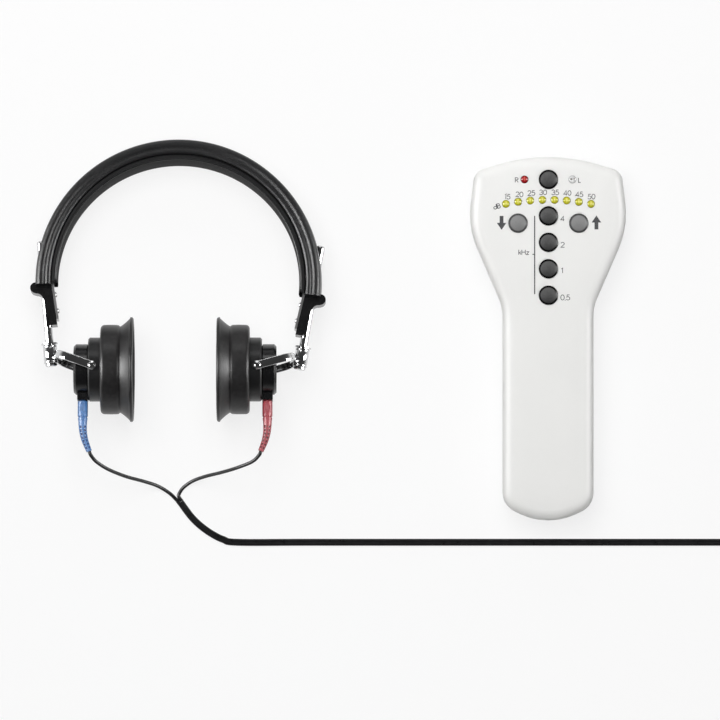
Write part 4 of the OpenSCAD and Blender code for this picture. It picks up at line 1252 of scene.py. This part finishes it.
for name in ("top_case", "bottom_case", "battery_door"):
    dress(name, finishes["case"], 30)
keys = [("ear_key", 0, unit["earDown"], "blackKey")]
for k, name in enumerate(("key_4khz", "key_2khz", "key_1khz", "key_05khz")):
    keys.append((name, 0, unit["topKeyDown"] + k * unit["keyPitch"], "blackKey"))
keys.append(("level_down_key", -unit["levelX"], unit["levelDown"], "greyKey"))
keys.append(("level_up_key", unit["levelX"], unit["levelDown"], "greyKey"))
for name, x, down, shades in keys:
    paint = keyPlastic(name + "Plastic", onFace(x, down) * mm, *unit[shades], unit["keyRadius"])
    dress(name, paint, 30)
inside = {
    "case_screws": "steel",
    "circuit_board": "board",
    "board_screws": "steel",
    "board_chips": "chip",
    "battery": "battery",
    "battery_snap": "satin",
    "tact_switches": "chip",
    "headphone_socket": "satin",
}
for name, finishName in inside.items():
    dress(name, finishes[finishName])


def lensMesh(r, u):
    # A lamp's dome on its collar; each point keeps how far across and up it lies, from -1 to 1
    high, dome, (foot, shoulder) = u["face"] - u["lampSink"], u["lampDome"], u["collar"]
    ball = (r * r + dome * dome) / (2 * dome)
    half = math.degrees(math.asin(r / ball))
    wide = r + u["collarWider"]
    profile = [(foot, 0), (foot, wide), (shoulder, wide), (shoulder + 0.1, r)]
    top = arc((0, high + dome - ball), ball, 90 - half, 90, 10)
    profile += [(z, x) for x, z in top]
    points, faces = revolved(profile, 40)
    mesh = bpy.data.meshes.new("lens")
    mesh.from_pydata([Vector((y, z, x)) * mm for x, y, z in points], [], faces)
    work = bmesh.new()
    work.from_mesh(mesh)
    closeMesh(work, mesh)
    sharpen(mesh, 40)
    across = mesh.attributes.new("across", "FLOAT", "POINT")
    up = mesh.attributes.new("up", "FLOAT", "POINT")
    for i, v in enumerate(mesh.vertices):
        across.data[i].value, up.data[i].value = v.co.x / (r * mm), v.co.y / (r * mm)
    return mesh


def lampTree():
    # The same lamp at every given point
    g, (spots, lamp, lens) = newTree("lampRow", {"Lamp": "Object", "Lens": "Material"})
    source = g.tree.nodes.new("GeometryNodeObjectInfo")
    g.tree.links.new(lamp.socket, source.inputs[0])
    points = g.add("GeometryNodeMeshToPoints", None, {0: spots})
    shape = Wire(g, source.outputs["Geometry"])
    copies = g.add("GeometryNodeInstanceOnPoints", None, {0: points, 2: shape})
    real = g.add("GeometryNodeRealizeInstances", None, {0: copies})
    painted = g.add("GeometryNodeSetMaterial", None, {0: real, 2: lens})
    g.add("NodeGroupOutput", None, {0: painted})
    return g.tree


lamp = bpy.data.objects.new("lamp_pattern", lensMesh(unit["lampRadius"], unit))
scene.collection.objects.link(lamp)
lampRow = lampTree()
rowSpots = []
for i in range(8):
    x = (i - 3.5) * unit["lampPitch"]
    sag = unit["lampArc"] - math.sqrt(unit["lampArc"] ** 2 - x * x)
    rowSpots.append(onFace(x, unit["lampDown"] + sag))
lampSets = [
    ("level_lamps", rowSpots, "yellow", "yellow_lens"),
    ("right_ear_lamp", [onFace(-unit["earLampX"], unit["earDown"])], "red lens", "red_lens"),
    ("left_ear_lamp", [onFace(unit["earLampX"], unit["earDown"])], "clear", "clear_lens"),
]
for name, spots, finishName, slotName in lampSets:
    values = {"Lamp": lamp, "Lens": finishes[finishName]}
    piece = growPiece(name + "_lit", metres(spots), lampRow, values, "base")
    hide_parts(name)
bpy.data.objects.remove(lamp)


# Each letter is a few strokes in a box one unit high; an arc is centre, radii, and two angles
letters = {
    "0": (0.62, [[("arc", 0.28, 0.5, 0.26, 0.5, 90, 450)]]),
    "1": (0.40, [[(0.06, 0.80), (0.24, 1), (0.24, 0)]]),
    "2": (0.64, [[("arc", 0.28, 0.72, 0.25, 0.28, 165, -38), (0.02, 0), (0.56, 0)]]),
    "3": (0.62, [[("arc", 0.25, 0.76, 0.22, 0.24, 160, -90), ("arc", 0.25, 0.27, 0.27, 0.27, 82, -160)]]),
    "4": (0.66, [[(0.42, 0), (0.42, 1), (0.0, 0.26), (0.58, 0.26)]]),
    "5": (0.62, [[(0.48, 1), (0.14, 1), (0.07, 0.56), ("arc", 0.24, 0.32, 0.28, 0.32, 120, -150)]]),
    "R": (0.60, [[(0, 0), (0, 1), (0.22, 1), ("arc", 0.22, 0.76, 0.24, 0.24, 80, -90), (0, 0.52)],
                 [(0.2, 0.52), (0.48, 0)]]),
    "L": (0.46, [[(0, 1), (0, 0), (0.38, 0)]]),
    "d": (0.66, [[("arc", 0.26, 0.29, 0.26, 0.29, 0, 360)], [(0.53, 1), (0.53, 0)]]),
    "B": (0.60, [[(0, 0), (0, 1), (0.2, 1), ("arc", 0.2, 0.77, 0.22, 0.23, 80, -90), (0, 0.54)],
                 [(0.2, 0.54), ("arc", 0.22, 0.27, 0.25, 0.27, 80, -90), (0, 0)]]),
    "k": (0.50, [[(0, 0), (0, 1)], [(0.34, 0.62), (0.02, 0.30)], [(0.14, 0.41), (0.38, 0)]]),
    "H": (0.74, [[(0, 0), (0, 1)], [(0, 0.52), (0.56, 0.52)], [(0.56, 0), (0.56, 1)]]),
    "z": (0.46, [[(0, 0.60), (0.38, 0.60), (0, 0), (0.40, 0)]]),
    ",": (0.24, [[(0.10, 0.06), (0.04, -0.12)]]),
}

# Words: text, place on the face, turn and height; places are photograph pixels, as the scale says
printing = {
    "origin": (543, 560.5),
    "scale": 0.52,
    "stroke": 0.44,
    "wide": 1.3,
    "thick": 0.05,
    "sink": 0.02,
    "arrowTail": 4.2,
    "arrowTip": 4.3,
    "arrowHalf": 2.9,
    "arrowShaft": 2.3,
    "lineWidth": 0.7,
    "tickWidth": 0.55,
    "words": [
        ("15", 494.8, 181.2, -5, 2.9), ("20", 508.9, 178.6, -2, 2.9), ("25", 522.9, 177.0, 2, 2.9),
        ("30", 536.6, 176.2, 0, 2.9), ("35", 550.9, 176.2, 0, 2.9), ("40", 565, 177.0, 1, 2.9),
        ("45", 579, 178.6, 1, 2.9), ("50", 593.2, 181.2, 0, 2.9), ("dB", 482.6, 192.6, 16, 2.75),
        ("R", 505.9, 161.8, 0, 2.8), ("L", 579.3, 162, 0, 2.8), ("4", 559.4, 207, 0, 2.9),
        ("2", 559.5, 237.6, 0, 3.0), ("1", 558.8, 267.8, 0, 3.0), ("0,5", 562.6, 299.2, 0, 3.1),
        ("kHz", 514.0, 246.3, 0, 2.9),
    ],
    "arrows": [(488.1, 211.9, -1), (599.1, 211.5, 1)],
    "line": [(526.8, 203.8), (526.8, 295.4)],
    "tick": [(526.8, 248.8), (524.2, 248.8)],
}


def strokePoints(stroke):
    points = []
    for part in stroke:
        if part[0] == "arc":
            _, cx, cy, rx, ry, start, end = part
            steps = max(6, int(abs(end - start) / 12))
            for i in range(steps + 1):
                a = math.radians(start + (end - start) * i / steps)
                points.append((cx + rx * math.cos(a), cy + ry * math.sin(a)))
        else:
            points.append(part)
    return points


def ribbon(points, width):
    # The outline of a stroke: both sides of a line of points, mitred at its corners
    sides = [[], []]
    n = len(points)
    shut = math.dist(points[0], points[-1]) < 1e-6
    for i, p in enumerate(points):
        before = points[i - 1] if i else (points[-2] if shut else p)
        after = points[i + 1] if i < n - 1 else (points[1] if shut else p)
        u = Vector((p[0] - before[0], p[1] - before[1]))
        v = Vector((after[0] - p[0], after[1] - p[1]))
        u = u.normalized() if u.length > 1e-9 else v.normalized()
        v = v.normalized() if v.length > 1e-9 else u
        m = (u + v).normalized() if (u + v).length > 1e-6 else u
        reach = width / 2 / max(0.45, m.dot(u))
        for k, sign in enumerate((1, -1)):
            sides[k].append((p[0] - sign * m.y * reach, p[1] + sign * m.x * reach))
    return sides


def slab(sides, low, high):
    # A thin closed strip between two lines of points
    n = len(sides[0])
    points = [(x, y, z) for z in (low, high) for side in sides for x, y in side]
    faces = []
    for i in range(n - 1):
        a, b, c, d = i, i + 1, n + i, n + i + 1
        faces += [(a, b, d, c), (2 * n + a, 2 * n + c, 2 * n + d, 2 * n + b)]
        faces += [(a, 2 * n + a, 2 * n + b, b), (c, d, 2 * n + d, 2 * n + c)]
    for i in (0, n - 1):
        faces.append((i, n + i, 3 * n + i, 2 * n + i))
    return points, faces


def facePoint(px, py):
    ox, oy = printing["origin"]
    return Vector(((px - ox) * printing["scale"], (oy - py) * printing["scale"] + unit["low"]))


def printFace(c):
    points, faces = [], []

    def add(sides):
        # Strokes that cross end at slightly different heights
        lift = 0.0008 * (len(faces) % 7)
        p, f = slab(sides, unit["face"] - c["sink"], unit["face"] + c["thick"] + lift)
        faces.extend(tuple(i + len(points) for i in face) for face in f)
        points.extend(p)

    for text, px, py, degrees, height in c["words"]:
        middle = facePoint(px, py)
        wide = height * c["wide"]
        turned = Matrix.Rotation(math.radians(degrees), 2)
        x = (0.1 - sum(letters[ch][0] for ch in text)) * wide / 2
        for ch in text:
            advance, strokes = letters[ch]
            for stroke in strokes:
                spots = [(x + sx * wide, (sy - 0.5) * height) for sx, sy in strokePoints(stroke)]
                add(ribbon([tuple(middle + turned @ Vector(s)) for s in spots], c["stroke"]))
            x += advance * wide
    for px, py, way in c["arrows"]:
        x, y = facePoint(px, py)
        add(ribbon([(x, y - way * c["arrowTail"]), (x, y + way * 0.2)], c["arrowShaft"]))
        half, tip = c["arrowHalf"], y + way * c["arrowTip"]
        add([[(x - half, y), (x, tip)], [(x + half, y), (x + 0.02, tip)]])
    for key in ("line", "tick"):
        add(ribbon([tuple(facePoint(*q)) for q in c[key]], c[key + "Width"]))
    return makePiece("face_printing", points, faces, Matrix(), finishes["ink"], "base", "black_plastic", 30)


printFace(printing)
print("hand unit made")
